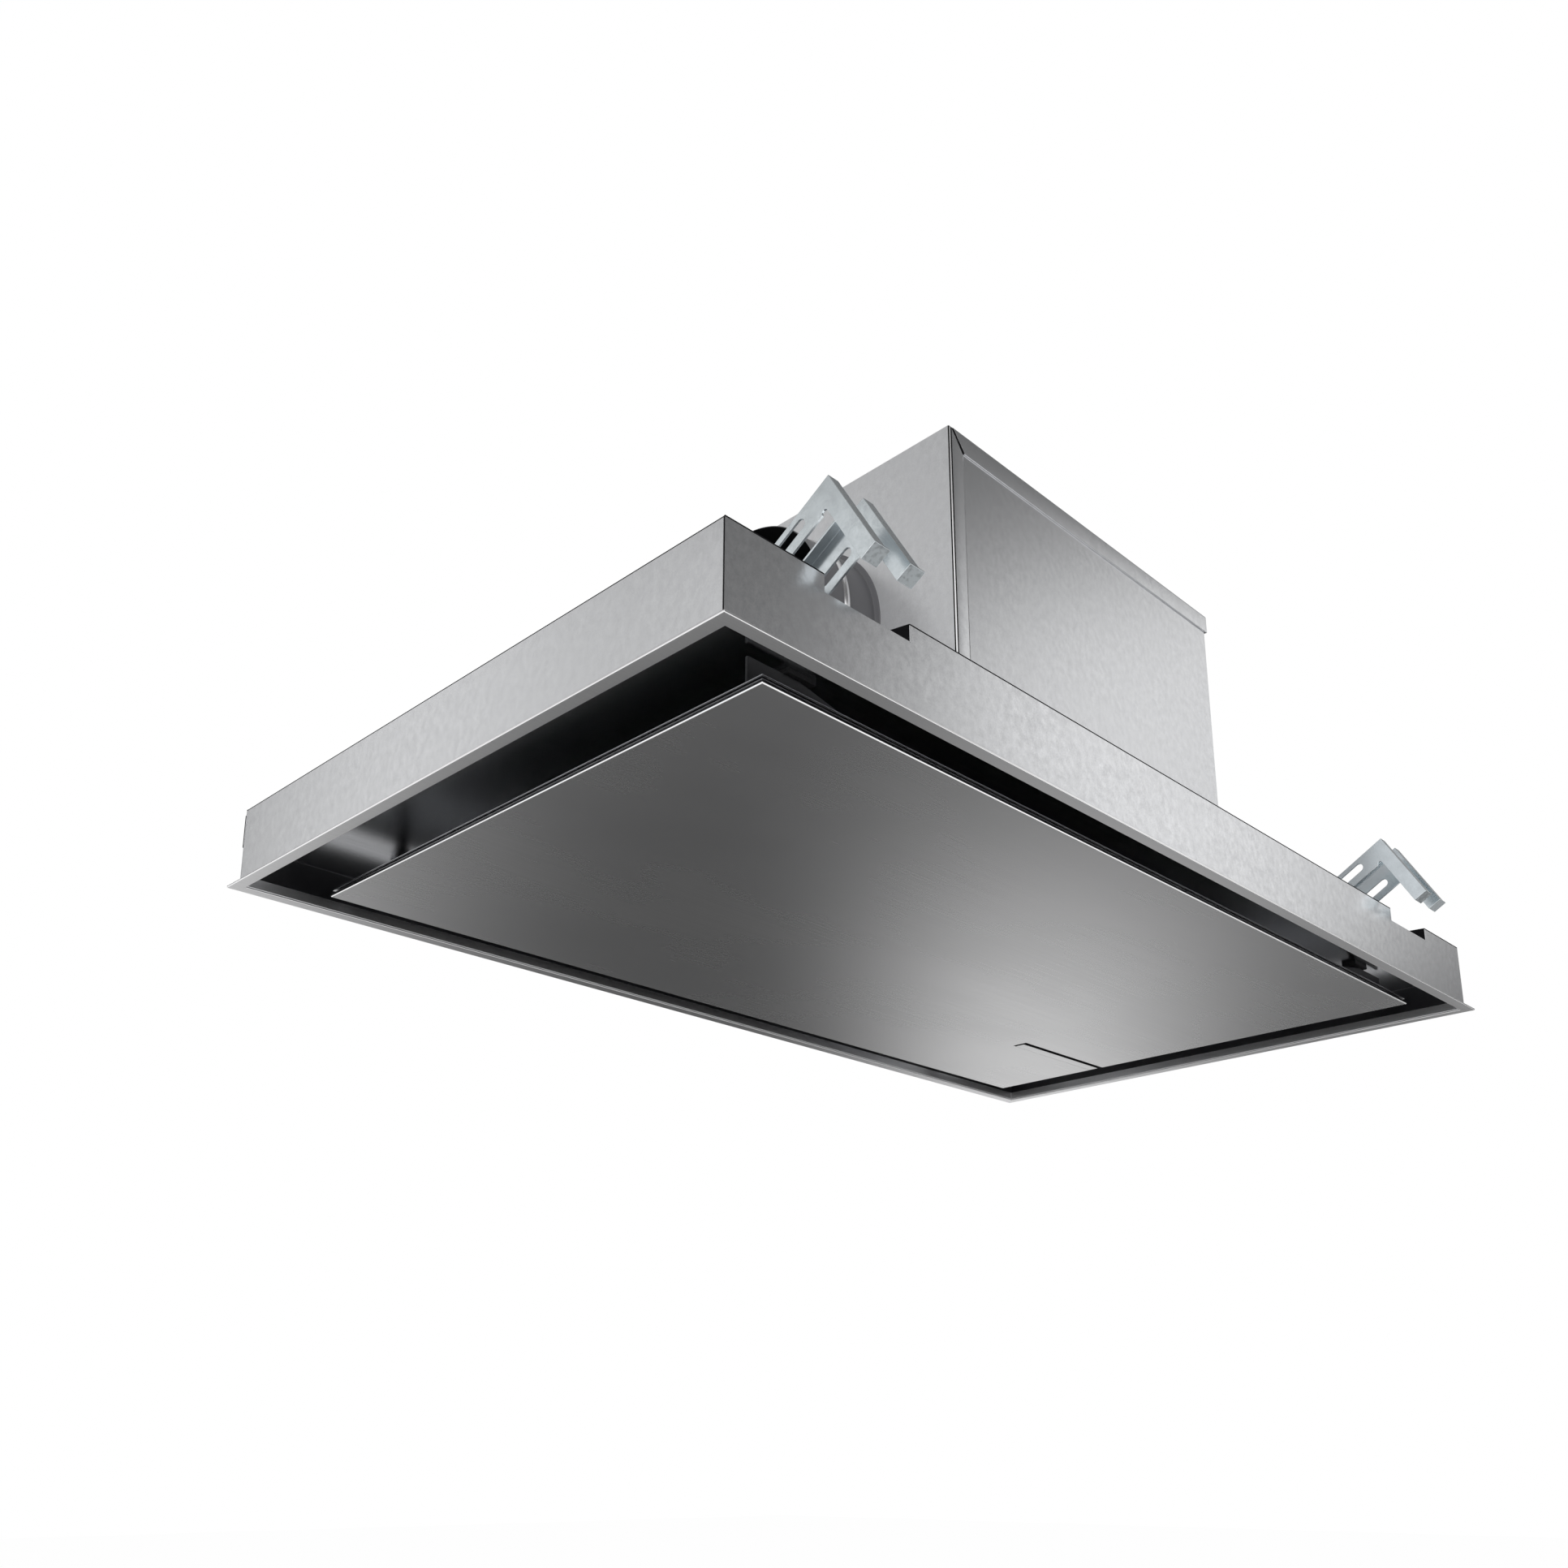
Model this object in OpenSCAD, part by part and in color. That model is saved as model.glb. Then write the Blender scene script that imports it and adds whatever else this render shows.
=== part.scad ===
// Ceiling range hood with perimeter suction.
// X runs along the long side, -Y is the front, +Z is up into the ceiling.
// The origin is the centre of the flange's lower face.

/* [Ceiling flange] */
// Length of the flange, outside edge to outside edge
lip_l = 900; // [840:1000]
// Width of the flange
lip_w = 500; // [460:560]
// Sheet thickness of the flange
lip_t = 1.5; // [1:0.1:2.5]
// Width of the flange's visible lower face
lip_rim = 9.2; // [8.6:0.1:12]
// How far the flange stands out past the short walls
lip_over_x = 6; // [4:0.5:7]
// How far the flange stands out past the long walls
lip_over_y = 6.5; // [4:0.5:7]
// Depth of the step in the flange that the walls stand in
lip_step = 0.3; // [0.2:0.1:0.6]

/* [Housing walls] */
// Sheet thickness of the walls
wall_t = 1; // [0.8:0.1:1.2]
// Height of the walls' top edge
wall_top = 58; // [56:80]
// Width of a clamp notch
notch_w = 68; // [50:90]
// Depth of a clamp notch
notch_d = 11; // [6:16]
// Distance of a notch's middle from the end of its wall
notch_end = 104; // [94:114]
// Length of the tab bent in from a notch
notch_tab_l = 24; // [10:30]

/* [Inner tray] */
// Height of the deck's lower face
deck_z = 30; // [30:34]
// Sheet thickness of the deck
deck_t = 1.2; // [0.8:0.1:2]
// Length of the intake opening in the deck
intake_l = 612; // [560:620]
// How far the plenum reaches past the intake opening's short edges
plenum_lip_x = 14; // [10:18]
// How far the plenum reaches past the opening's long edges
plenum_lip_y = 25; // [20:30]
// Clearance between the plenum and the clamp posts' feet
plenum_gap = 8; // [5:12]
// Height of the plenum's top face
plenum_top = 57; // [54:57]
// Sheet thickness of the plenum
plenum_t = 1; // [0.8:0.1:1.5]

/* [Motor box] */
// How far the plenum stands out past the motor box's long faces
box_step = 4; // [3:6]
// Room between the scroll's widest radius and the box's short faces
box_side = 37.8; // [34:44]
// How far the box's middle lies to the left of the hood's middle
box_off = 1.5; // [0:0.5:4]
// Height of the lid's top face above the motor
box_head = 11; // [8:20]
// Sheet thickness of the motor box
sheet_t = 1.2; // [0.8:0.1:1.5]
// Width of the flange that the left sheet folds round the corner
fold_w = 15.8; // [10:20]
// Depth of the lid's folded edge
lid_drop = 15.4; // [10:20]
// How far the lid stands out past the right sheet
lid_over = 3; // [2:0.5:4]

/* [Duct collar] */
// Outer radius of the collar
collar_r = 75; // [73:76]
// Wall thickness of the collar
collar_t = 1; // [0.8:0.1:1.5]
// Length of the collar outside the box
collar_len = 56.7; // [50:70]
// Place of the collar's axis along Y
collar_y = -28; // [-30:-26]
// Height of the scroll's floor above the plenum
scroll_up = 45; // [40:50]
// Distance of the stop bead from the box
bead_at = 30; // [26:34]
// Height of the stop bead above the tube
bead_h = 2; // [1:0.5:3]

/* [Non-return flaps] */
// Clearance between a flap's rim and the tube
flap_gap = 3.5; // [3:0.5:5]
// Thickness of a flap
flap_t = 1.2; // [1:0.1:1.5]
// Distance of the flap rod from the box
flap_at = 12; // [10:14]
// Radius of the flap rod
flap_rod_r = 2; // [1.5:0.1:2.2]

/* [Fan] */
// Distance of the fan axis from the box's middle along X
fan_dx = 26.5; // [24:29]
// Place of the fan axis along Y
fan_y = 28; // [26:30]
// Clearance between the impeller's back plate and the scroll's cover
impeller_gap = 12; // [10:16]
// Number of blades
blade_count = 32; // [24:40]
// Chord of a blade
blade_l = 14; // [12:15]
// Thickness of a blade
blade_t = 1; // [0.8:0.1:1.4]
// Clearance between the impeller and the scroll where that starts
scroll_gap = 10; // [8:12]
// How much the scroll's radius grows to where it leaves
scroll_grow = 33; // [28:34]
// Height of the scroll
scroll_h = 152; // [150:154]
// Wall thickness of the scroll
scroll_t = 2; // [1.5:0.5:2.5]
// How much narrower than the impeller the inlet is, on the radius
inlet_in = 20; // [18:28]
// Radius of the motor shaft
shaft_r = 5; // [4:0.5:6]
// Outer radius of a bearing
bearing_r = 11; // [10:13]
// Width of a bearing
bearing_w = 7; // [5:8]
// Radius of the motor housing
motor_r = 50; // [46:52]
// Height of the motor housing
motor_h = 32; // [30:34]

/* [Cover panel] */
// Suction gap beside the panel's short edges
panel_gap_x = 50.3; // [45:55]
// Suction gap beside the panel's long edges
panel_gap_y = 25.8; // [22:29]
// Thickness of the face sheet
face_t = 2.6; // [2:0.1:3]
// Width of the bevel round the face sheet
bevel = 1; // [0.5:0.1:1.4]
// Thickness of the dark core
core_t = 2; // [1.5:0.1:3]
// How far the core is set back from the edge
core_inset = 4; // [3:8]
// Thickness of the backing sheet
back_t = 1.4; // [1:0.1:2]
// How far the backing sheet is set back from the edge
back_inset = 0.8; // [0.5:0.1:2]
// Length of the inset strip
strip_l = 129; // [100:150]
// Width of the recess for the strip
strip_w = 14.5; // [12:18]
// Depth of the recess for the strip
strip_d = 1.3; // [1:0.1:1.4]
// Distance of the strip from the panel's rear edge
strip_in = 115.7; // [105:125]

/* [Panel hinge and catch] */
// Distance of hinges and catches from the panel's ends
arm_in = 46.5; // [43:52]
// Distance of the hinge axis from the panel's rear edge
hinge_in = 9; // [7:13]
// Distance of the hinge axis below the deck
hinge_drop = 12; // [11:13]
// Radius of a hinge pin
hinge_pin_r = 2; // [1.5:0.1:2.2]
// Thickness of a hinge arm
arm_t = 4; // [3:5]
// Thickness of a hinge lug
lug_t = 2; // [1.5:0.5:3]
// Distance of the catch posts from the panel's front edge
post_in = 18.4; // [15:25]
// Width of a catch post along Y
post_w = 8; // [6:12]
// Sheet thickness of a catch post
post_t = 2; // [1.5:0.5:3]
// Length of the foot beside a post
foot_l = 40; // [20:42]
// Clearance between the top of that foot and the deck
foot_gap = 4; // [3:12]
// Length of the hook beside a post
hook_l = 38; // [20:40]

/* [Grease filters] */
// Thickness of a filter
filter_t = 10; // [8:12]
// Width of a filter's frame bar
filter_bar = 12; // [10:16]
// Clearance round a filter
filter_gap = 0.6; // [0.4:0.1:1]
// Number of slots across a filter
slot_count = 13; // [9:15]
// Length of a pull tab
tab_l = 13; // [10:14]
// Width of a pull tab
tab_w = 60; // [50:70]
// Thickness of a pull tab
tab_t = 1.5; // [1:0.1:2]

/* [Ceiling clamps] */
// Distance of a clamp's left cheek from the edge of its notch
clamp_in = 9; // [7:12]
// Width of a clamp over both cheeks
clamp_w = 29.5; // [26:32]
// Sheet thickness of a clamp
clamp_t = 1.5; // [1:0.1:2]
// Length of a clamp's leg
leg_l = 68; // [64:72]
// Width of the left cheek's leg
leg_w = 17.5; // [16:19]
// Width of the right cheek's leg
leg2_w = 28; // [26:29]
// Length of a clamp's arm
arm_l = 64; // [56:66]
// Width of a clamp's arm
arm_w = 11.3; // [10:12]
// Width of the folded edge along an arm
hem_w = 8; // [6:10]
// Tilt of the leg below the horizontal, at rest
clamp_tilt = 30; // [28:32]
// Distance of the pivot along the leg
pivot_s = 60; // [59:61]
// Distance of the pivot from the leg's top edge
pivot_t = 19; // [18.5:0.5:19.5]
// Radius of the pivot pin
pivot_r = 2.5; // [2:0.1:3]
// Distance of the pivot behind the wall's outer face
pivot_in = 47.5; // [47:0.1:48]
// Height of the pivot above the wall's top edge
pivot_up = 19.5; // [18:21]

/* [Hidden] */

$fn = 64;
// Overrun of every cut past the surface it opens
over = 1;
// Running clearance of a pin or shaft in its bore
run_gap = 0.05;
// Clearance between pieces that only pass each other
pass_gap = 0.5;

wall_l = lip_l - 2 * lip_over_x;
wall_w = lip_w - 2 * lip_over_y;
opening_l = lip_l - 2 * lip_rim;
opening_w = lip_w - 2 * lip_rim;
inner_l = wall_l - 2 * wall_t;
inner_w = wall_w - 2 * wall_t;
// Height at which walls and skirt stand on the flange
wall_base = lip_t - lip_step;
deck_top = deck_z + deck_t;
notch_x = wall_l / 2 - notch_end;
pivot_y = wall_w / 2 - pivot_in;
pivot_z = wall_top + pivot_up;
// Half width of a clamp post's foot along Y
stand_base_y = 12;
plenum_l = intake_l + 2 * plenum_lip_x;
plenum_w = 2 * (pivot_y - stand_base_y - plenum_gap);
intake_w = plenum_w - 2 * plenum_lip_y;
// Angle of the notch tabs from square
notch_tab_angle = 12;
// Plate on the rear wall at its left corner
corner_l = 14;
corner_h = 24;
corner_t = 1.5;
// Distance of its top edge below the wall's top edge
corner_drop = 4;

// The fan fills the box: its impeller takes this share of the box's width
impeller_share = 11 / 43;
box_w = plenum_w - 2 * box_step;
impeller_r = box_w * impeller_share;
inlet_r = impeller_r - inlet_in;
scroll_r0 = impeller_r + scroll_gap;
scroll_r1 = scroll_r0 + scroll_grow;
box_l = 2 * (scroll_r1 + box_side);
box_x0 = -box_l / 2 - box_off;
box_x1 = box_x0 + box_l;
box_y0 = -box_w / 2;
fan_x = fan_dx - box_off;
collar_z = plenum_top + scroll_up + scroll_h / 2;
lid_x1 = box_x1 + lid_over;
// Gap at the mitre between lid and left sheet
mitre_gap = 0.3;

bore_r = collar_r - collar_t;
flap_r = bore_r - flap_gap;
// Width of the collar's foot ring on the box
foot_ring_w = 4;
flap_x = box_x0 - flap_at;
// The rod ends just short of the tube's curved wall
rod_half = bore_r - flap_rod_r * 0.05;
// Wall of a flap's knuckle round the rod
knuckle_t = 1.4;
knuckle_r = flap_rod_r + run_gap + knuckle_t;
// Length of a knuckle, and how far the outer pair lies from the middle
knuckle_l = 18;
knuckle_out = 34;
knuckle_in = 12;

scroll_z = collar_z - scroll_h / 2;
scroll_top = collar_z + scroll_h / 2;
// The impeller clears the scroll's floor by this much
impeller_lift = 8;
impeller_z = scroll_z + scroll_t + impeller_lift;
impeller_h = scroll_top - scroll_t - impeller_gap - impeller_z;
// Angles of the scroll, from its tongue clockwise to where it leaves
tongue_a = 200;
sweep_a = 290;
scroll_steps = 29;
// Hub of the impeller
hub_r = 17;
hub_h = 14;
plate_t = 2;
// Where a blade's middle lies in the width of its ring, and its angle to the radius
blade_mid_share = 0.55;
blade_a = 40;
motor_z = scroll_top + plate_t;
box_top = motor_z + motor_h + box_head;
// Clearance hole round the shaft
shaft_clear = 1.5;
shaft_hole_r = shaft_r + shaft_clear;
// Radius of the circle of motor mounts, and of one mount
mount_pcd_r = 62;
mount_r = 5;
// Height of the inlet ring's lip above the scroll's floor
inlet_h = 9;
inlet_t = 1.5;

panel_t = face_t + core_t + back_t;
panel_l = opening_l - 2 * panel_gap_x;
panel_w = opening_w - 2 * panel_gap_y;
strip_y = panel_w / 2 - strip_in;
arm_x = panel_l / 2 - arm_in;
hinge_y = panel_w / 2 - hinge_in;
hinge_z = deck_z - hinge_drop;
post_y = post_in - panel_w / 2;
foot_h = deck_z - panel_t - foot_gap;
arm_r = 4.5;
// Free width between the two lugs of a hinge
lug_gap = arm_t + 2 * pass_gap;
lug_d = 10;
pin_head_r = 3.4;
pin_head_h = 1.5;
// Half length of the hinge arm's foot on the panel
arm_foot = 12;
// The hook beside a post, and its distance below the deck
hook_drop = 10;
hook_z = deck_z - hook_drop;
hook_h = 3;
// Magnet under the deck that holds a catch post
magnet_l = 22;
magnet_w = 12;
magnet_h = 3;
magnet_gap = 0.3;
// Spring clips at the filters' ends
clip_l = 33;
clip_t = 0.8;
clip_foot = 6;
clip_gap = 0.3;

filter_l = intake_l / 2 - 1.5 * filter_gap;
filter_w = intake_w - 2 * filter_gap;
filter_z = deck_z;
filter_cx = (filter_l + filter_gap) / 2;
mesh_t = 1.2;
mesh_depth = 2.2;
// Place of the pull tab's axis, from the filter's front edge
tab_from_edge = 34;
tab_pin_r = 1.2;
tab_pin_l = 4;
tab_ear_t = 2;
tab_z = filter_z + tab_ear_t;

clamp_a = clamp_tilt;
clamp_x0 = -notch_x - notch_w / 2 + clamp_in;
clamp_x1 = notch_x - notch_w / 2 + clamp_in;
// Width of the pad at an arm's end
pad_w = 12;
// Slots of the two cheeks: place along the leg, place across it, length and width
slot_a_s = 25;
slot_a_t = 7.4;
slot_a_l = 24;
slot_c_s = 22;
slot_c_t = 18.5;
slot_c_l = 26;
slot_w = 7;
relief_d = 4;
ear_r = 8.5;
web_s = 55;
flange2_w = 6;
flange2_s = 12;
stand_gap = 0.75;
stand_t = 2;
stand_half = 8;
head_over = 1.6;
screw_r = 3.4;
screw_h = 1.6;
control_l = 110;
control_w = 92;
control_h = 26;
// Clearance between the lid and the control box
control_gap = 12.7;
control_x = lid_x1 + control_gap + control_l / 2;
control_y = 88;
control_t = 2;
gland_r = 8;
gland_l = 14;
gland_bore = 4;

// Plain block from its lowest corner
module block(at, size) {
    translate(at) cube(size);
}

// Block centred on X and Y
module centred(size, z) {
    translate([-size[0] / 2, -size[1] / 2, z]) cube(size);
}

// Rectangular ring, open in the middle
module ring_plate(l, w, hole_l, hole_w, z, h) {
    difference() {
        centred([l, w, h], z);
        centred([hole_l, hole_w, h + 2 * over], z - over);
    }
}

// Outline in X and Z, made a sheet whose outer face lies at y
module sheet_xz(points, y, t) {
    translate([0, y + t, 0]) rotate([90, 0, 0]) linear_extrude(t) polygon(points);
}

// Slot with round ends, along X, centred
module slot2d(l, w) {
    translate([-(l - w) / 2, 0]) circle(w / 2);
    translate([(l - w) / 2, 0]) circle(w / 2);
    square([l - w, w], center = true);
}

module ceiling_flange() {
    color("silver") difference() {
        ring_plate(lip_l, lip_w, opening_l, opening_w, 0, lip_t);
        centred([wall_l, wall_w, lip_step + over], wall_base);
    }
}

module inner_skirt() {
    color([0.12, 0.12, 0.13])
        ring_plate(inner_l, inner_w, opening_l, opening_w, wall_base, deck_z - wall_base);
}

// A long wall with its two notches, and a tab bent in at each
module long_wall() {
    difference() {
        block([-wall_l / 2, -wall_w / 2, wall_base], [wall_l, wall_t, wall_top - wall_base]);
        for (s = [-1, 1])
            block(
                [s * notch_x - notch_w / 2, -wall_w / 2 - over, wall_top - notch_d],
                [notch_w, wall_t + 2 * over, notch_d + over]
            );
    }
    for (s = [-1, 1])
        translate([s * notch_x + notch_w / 2, -wall_w / 2, wall_top - notch_d])
            rotate([0, 0, notch_tab_angle])
                cube([wall_t, notch_tab_l, notch_d]);
}

module front_wall() {
    color("lightgray") long_wall();
}

module rear_wall() {
    color("lightgray") rotate([0, 0, 180]) long_wall();
}

module short_wall() {
    block(
        [-wall_l / 2, -wall_w / 2 + wall_t, wall_base],
        [wall_t, wall_w - 2 * wall_t, wall_top - wall_base]
    );
}

module left_wall() {
    color("gainsboro") short_wall();
}

module right_wall() {
    color("gainsboro") rotate([0, 0, 180]) short_wall();
}

module corner_plate() {
    color([0.15, 0.15, 0.16]) block(
        [-wall_l / 2, wall_w / 2, wall_top - corner_drop - corner_h],
        [corner_l, corner_t, corner_h]
    );
}

module deck_plate() {
    color("lightslategray")
        ring_plate(inner_l, inner_w, intake_l, intake_w, deck_z, deck_t);
}

module intake_plenum() {
    color("lightgray") difference() {
        centred([plenum_l, plenum_w, plenum_top - deck_top], deck_top);
        centred(
            [plenum_l - 2 * plenum_t, plenum_w - 2 * plenum_t,
                plenum_top - deck_top - plenum_t + over],
            deck_top - over
        );
        block(
            [box_x0 + fold_w, box_y0 + fold_w, plenum_top - plenum_t - over],
            [box_l - 2 * fold_w, box_w - 2 * fold_w, plenum_t + 2 * over]
        );
    }
}

// Outline of the left sheet's fold on the front face, cut off at the mitre
function fold_points() = [
    [box_x0 + sheet_t, plenum_top],
    [box_x0 + fold_w, plenum_top],
    [box_x0 + fold_w, box_top - lid_drop - mitre_gap],
    [box_x0 + sheet_t, box_top - mitre_gap]
];

// Outline of the lid's edge on the front face, cut to meet that fold
function lid_edge_points() = [
    [box_x0 + sheet_t + mitre_gap, box_top],
    [box_x0 + fold_w, box_top - lid_drop],
    [lid_x1, box_top - lid_drop],
    [lid_x1, box_top]
];

module box_left_sheet() {
    color("silver") {
        difference() {
            block([box_x0, box_y0, plenum_top], [sheet_t, box_w, box_top - plenum_top]);
            translate([box_x0 - over, collar_y, collar_z])
                rotate([0, 90, 0]) cylinder(r = bore_r, h = sheet_t + 2 * over);
        }
        sheet_xz(fold_points(), box_y0, sheet_t);
        sheet_xz(fold_points(), -box_y0 - sheet_t, sheet_t);
    }
}

module box_lid() {
    color("silver") {
        block(
            [box_x0 + sheet_t, box_y0 + sheet_t, box_top - sheet_t],
            [lid_x1 - box_x0 - sheet_t, box_w - 2 * sheet_t, sheet_t]
        );
        sheet_xz(lid_edge_points(), box_y0, sheet_t);
        sheet_xz(lid_edge_points(), -box_y0 - sheet_t, sheet_t);
        block(
            [lid_x1 - sheet_t, box_y0, box_top - lid_drop],
            [sheet_t, box_w, lid_drop]
        );
    }
}

module face_sheet() {
    block(
        [box_x0 + sheet_t, box_y0 + sheet_t, plenum_top],
        [box_l - sheet_t, sheet_t, box_top - sheet_t - plenum_top]
    );
}

module box_front_sheet() {
    color("darkgray") face_sheet();
}

module box_rear_sheet() {
    color("darkgray") mirror([0, 1, 0]) face_sheet();
}

module box_right_sheet() {
    color("silver") block(
        [box_x1 - sheet_t, box_y0 + 2 * sheet_t, plenum_top],
        [sheet_t, box_w - 4 * sheet_t, box_top - sheet_t - plenum_top]
    );
}

// The collar is drawn along +Z and turned to leave the box towards -X
module duct_collar() {
    color("dimgray") translate([box_x0, collar_y, collar_z]) rotate([0, -90, 0])
        difference() {
            union() {
                cylinder(r = collar_r, h = collar_len);
                cylinder(r = collar_r + foot_ring_w, h = collar_t);
                translate([0, 0, bead_at]) rotate_extrude()
                    translate([collar_r - bead_h, 0]) circle(bead_h * 2);
            }
            translate([0, 0, -over]) cylinder(r = bore_r, h = collar_len + 2 * over);
        }
}

module flap_rod() {
    color("gray") translate([flap_x, collar_y, collar_z - rod_half])
        cylinder(r = flap_rod_r, h = 2 * rod_half);
}

// Half disc towards +Y, with knuckles round the rod at the given heights
module flap_leaf(own, other) {
    translate([flap_x, collar_y, collar_z]) difference() {
        union() {
            intersection() {
                translate([-flap_t / 2, 0, 0]) rotate([0, 90, 0])
                    cylinder(r = flap_r, h = flap_t);
                block([-flap_r, 0, -flap_r], [2 * flap_r, flap_r, 2 * flap_r]);
            }
            for (z = own) translate([0, 0, z - knuckle_l / 2])
                cylinder(r = knuckle_r, h = knuckle_l);
        }
        for (z = own) translate([0, 0, z - knuckle_l / 2 - over])
            cylinder(r = flap_rod_r + run_gap, h = knuckle_l + 2 * over);
        for (z = other) translate([0, 0, z - knuckle_l / 2 - pass_gap])
            cylinder(r = knuckle_r + pass_gap, h = knuckle_l + 2 * pass_gap);
        difference() {
            translate([0, 0, -bore_r])
                cylinder(r = flap_rod_r + pass_gap, h = 2 * bore_r);
            for (z = own) translate([0, 0, z - knuckle_l / 2])
                cylinder(r = knuckle_r, h = knuckle_l);
        }
    }
}

module rear_flap() {
    color([0.1, 0.1, 0.1]) flap_leaf([-knuckle_out, knuckle_out], [-knuckle_in, knuckle_in]);
}

module front_flap() {
    color([0.1, 0.1, 0.1]) translate([0, 2 * collar_y, 0]) mirror([0, 1, 0])
        flap_leaf([-knuckle_in, knuckle_in], [-knuckle_out, knuckle_out]);
}

// Points of the scroll's spiral, moved out by w
function scroll_points(w) = [
    for (i = [0 : scroll_steps])
        let (
            share = i / scroll_steps,
            a = tongue_a - sweep_a * share,
            r = scroll_r0 + (scroll_r1 - scroll_r0) * share + w
        )
        [fan_x + r * cos(a), fan_y + r * sin(a)]
];

// Outline of the scroll with its outlet, moved out by w
function scroll_outline(w) = concat(
    scroll_points(w),
    [
        [box_x0 + sheet_t, fan_y - scroll_r1 - w],
        [box_x0 + sheet_t, collar_y + bore_r + w]
    ]
);

module fan_scroll() {
    color([0.2, 0.2, 0.22]) {
        translate([0, 0, scroll_z]) linear_extrude(scroll_t) difference() {
            polygon(scroll_outline(scroll_t));
            translate([fan_x, fan_y]) circle(inlet_r + inlet_t);
        }
        translate([0, 0, scroll_z]) linear_extrude(scroll_h - scroll_t) difference() {
            polygon(scroll_outline(scroll_t));
            polygon(scroll_outline(0));
        }
    }
}

module scroll_cover() {
    color([0.2, 0.2, 0.22]) translate([0, 0, scroll_top - scroll_t])
        linear_extrude(scroll_t) difference() {
            polygon(scroll_outline(scroll_t));
            translate([fan_x, fan_y]) circle(shaft_hole_r);
        }
}

module inlet_ring() {
    color([0.25, 0.25, 0.27]) translate([fan_x, fan_y, scroll_z - inlet_t])
        difference() {
            union() {
                cylinder(r = inlet_r + inlet_t, h = inlet_t + inlet_h);
                cylinder(r = inlet_r + 4 * inlet_t, h = inlet_t);
            }
            translate([0, 0, -over]) cylinder(r = inlet_r, h = inlet_h + inlet_t + 2 * over);
        }
}

module motor_plate() {
    color("gray") translate([fan_x, fan_y, scroll_top]) difference() {
        cylinder(r = mount_pcd_r + 2 * mount_r, h = plate_t);
        translate([0, 0, -over]) cylinder(r = shaft_hole_r, h = plate_t + 2 * over);
    }
}

module motor_housing() {
    color("dimgray") translate([fan_x, fan_y, motor_z]) difference() {
        cylinder(r = motor_r, h = motor_h);
        translate([0, 0, -over]) cylinder(r = shaft_hole_r, h = motor_h + 2 * over);
        translate([0, 0, -over]) cylinder(r = bearing_r, h = bearing_w + over);
        translate([0, 0, motor_h - bearing_w]) cylinder(r = bearing_r, h = bearing_w + over);
    }
}

module motor_bearings() {
    color("lightsteelblue") for (z = [0, motor_h - bearing_w])
        translate([fan_x, fan_y, motor_z + z]) difference() {
            cylinder(r = bearing_r, h = bearing_w);
            translate([0, 0, -over]) cylinder(r = shaft_r + run_gap, h = bearing_w + 2 * over);
        }
}

module motor_mounts() {
    color("black") for (a = [45 : 90 : 315])
        translate([
            fan_x + mount_pcd_r * cos(a),
            fan_y + mount_pcd_r * sin(a),
            motor_z
        ]) cylinder(r = mount_r, h = 2 * mount_r);
}

module motor_shaft() {
    color("lightsteelblue") translate([fan_x, fan_y, impeller_z + impeller_h - hub_h])
        cylinder(r = shaft_r, h = motor_z + motor_h - impeller_z - impeller_h + hub_h);
}

module impeller() {
    color("darkgray") translate([fan_x, fan_y, impeller_z]) {
        difference() {
            cylinder(r = impeller_r, h = plate_t);
            translate([0, 0, -over]) cylinder(r = impeller_r - blade_l, h = plate_t + 2 * over);
        }
        difference() {
            union() {
                translate([0, 0, impeller_h - plate_t]) cylinder(r = impeller_r, h = plate_t);
                translate([0, 0, impeller_h - hub_h]) cylinder(r = hub_r, h = hub_h);
            }
            translate([0, 0, impeller_h - hub_h - over])
                cylinder(r = shaft_r, h = hub_h + 2 * over);
        }
        for (i = [0 : blade_count - 1])
            rotate([0, 0, 360 * i / blade_count])
                translate([impeller_r - blade_l * blade_mid_share, 0, plate_t])
                    rotate([0, 0, blade_a])
                        translate([-blade_l / 2, 0, 0])
                            cube([blade_l, blade_t, impeller_h - 2 * plate_t]);
    }
}

module control_box() {
    color([0.3, 0.3, 0.32])
        translate([control_x - control_l / 2, control_y - control_w / 2, plenum_top])
            difference() {
                cube([control_l, control_w, control_h - control_t]);
                translate([control_t, control_t, control_t])
                    cube([control_l - 2 * control_t, control_w - 2 * control_t, control_h]);
                translate([control_l - control_t - over, control_w / 2, control_h / 2])
                    rotate([0, 90, 0]) cylinder(r = gland_bore, h = control_t + 2 * over);
            }
}

module control_cover() {
    color([0.2, 0.2, 0.2]) block(
        [control_x - control_l / 2, control_y - control_w / 2, plenum_top + control_h - control_t],
        [control_l, control_w, control_t]
    );
}

module cable_gland() {
    color([0.1, 0.1, 0.1])
        translate([control_x + control_l / 2, control_y, plenum_top + control_h / 2])
            rotate([0, 90, 0]) difference() {
                union() {
                    cylinder(r = gland_r, h = gland_l / 2);
                    cylinder(r = gland_r - control_t, h = gland_l);
                }
                translate([0, 0, -over]) cylinder(r = gland_bore, h = gland_l + 2 * over);
            }
}

// Face sheet: its lower edge is bevelled all round
module panel_face() {
    color("gray") difference() {
        hull() {
            centred([panel_l - 2 * bevel, panel_w - 2 * bevel, face_t], 0);
            centred([panel_l, panel_w, face_t - bevel], bevel);
        }
        block(
            [panel_l / 2 - strip_l, strip_y - strip_w / 2, -over],
            [strip_l + over, strip_w, strip_d + over]
        );
    }
}

module panel_strip() {
    color("silver") block(
        [panel_l / 2 - strip_l + strip_d, strip_y - strip_w / 2 + strip_d, 0],
        [strip_l - strip_d - bevel, strip_w - strip_d, strip_d]
    );
}

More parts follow.
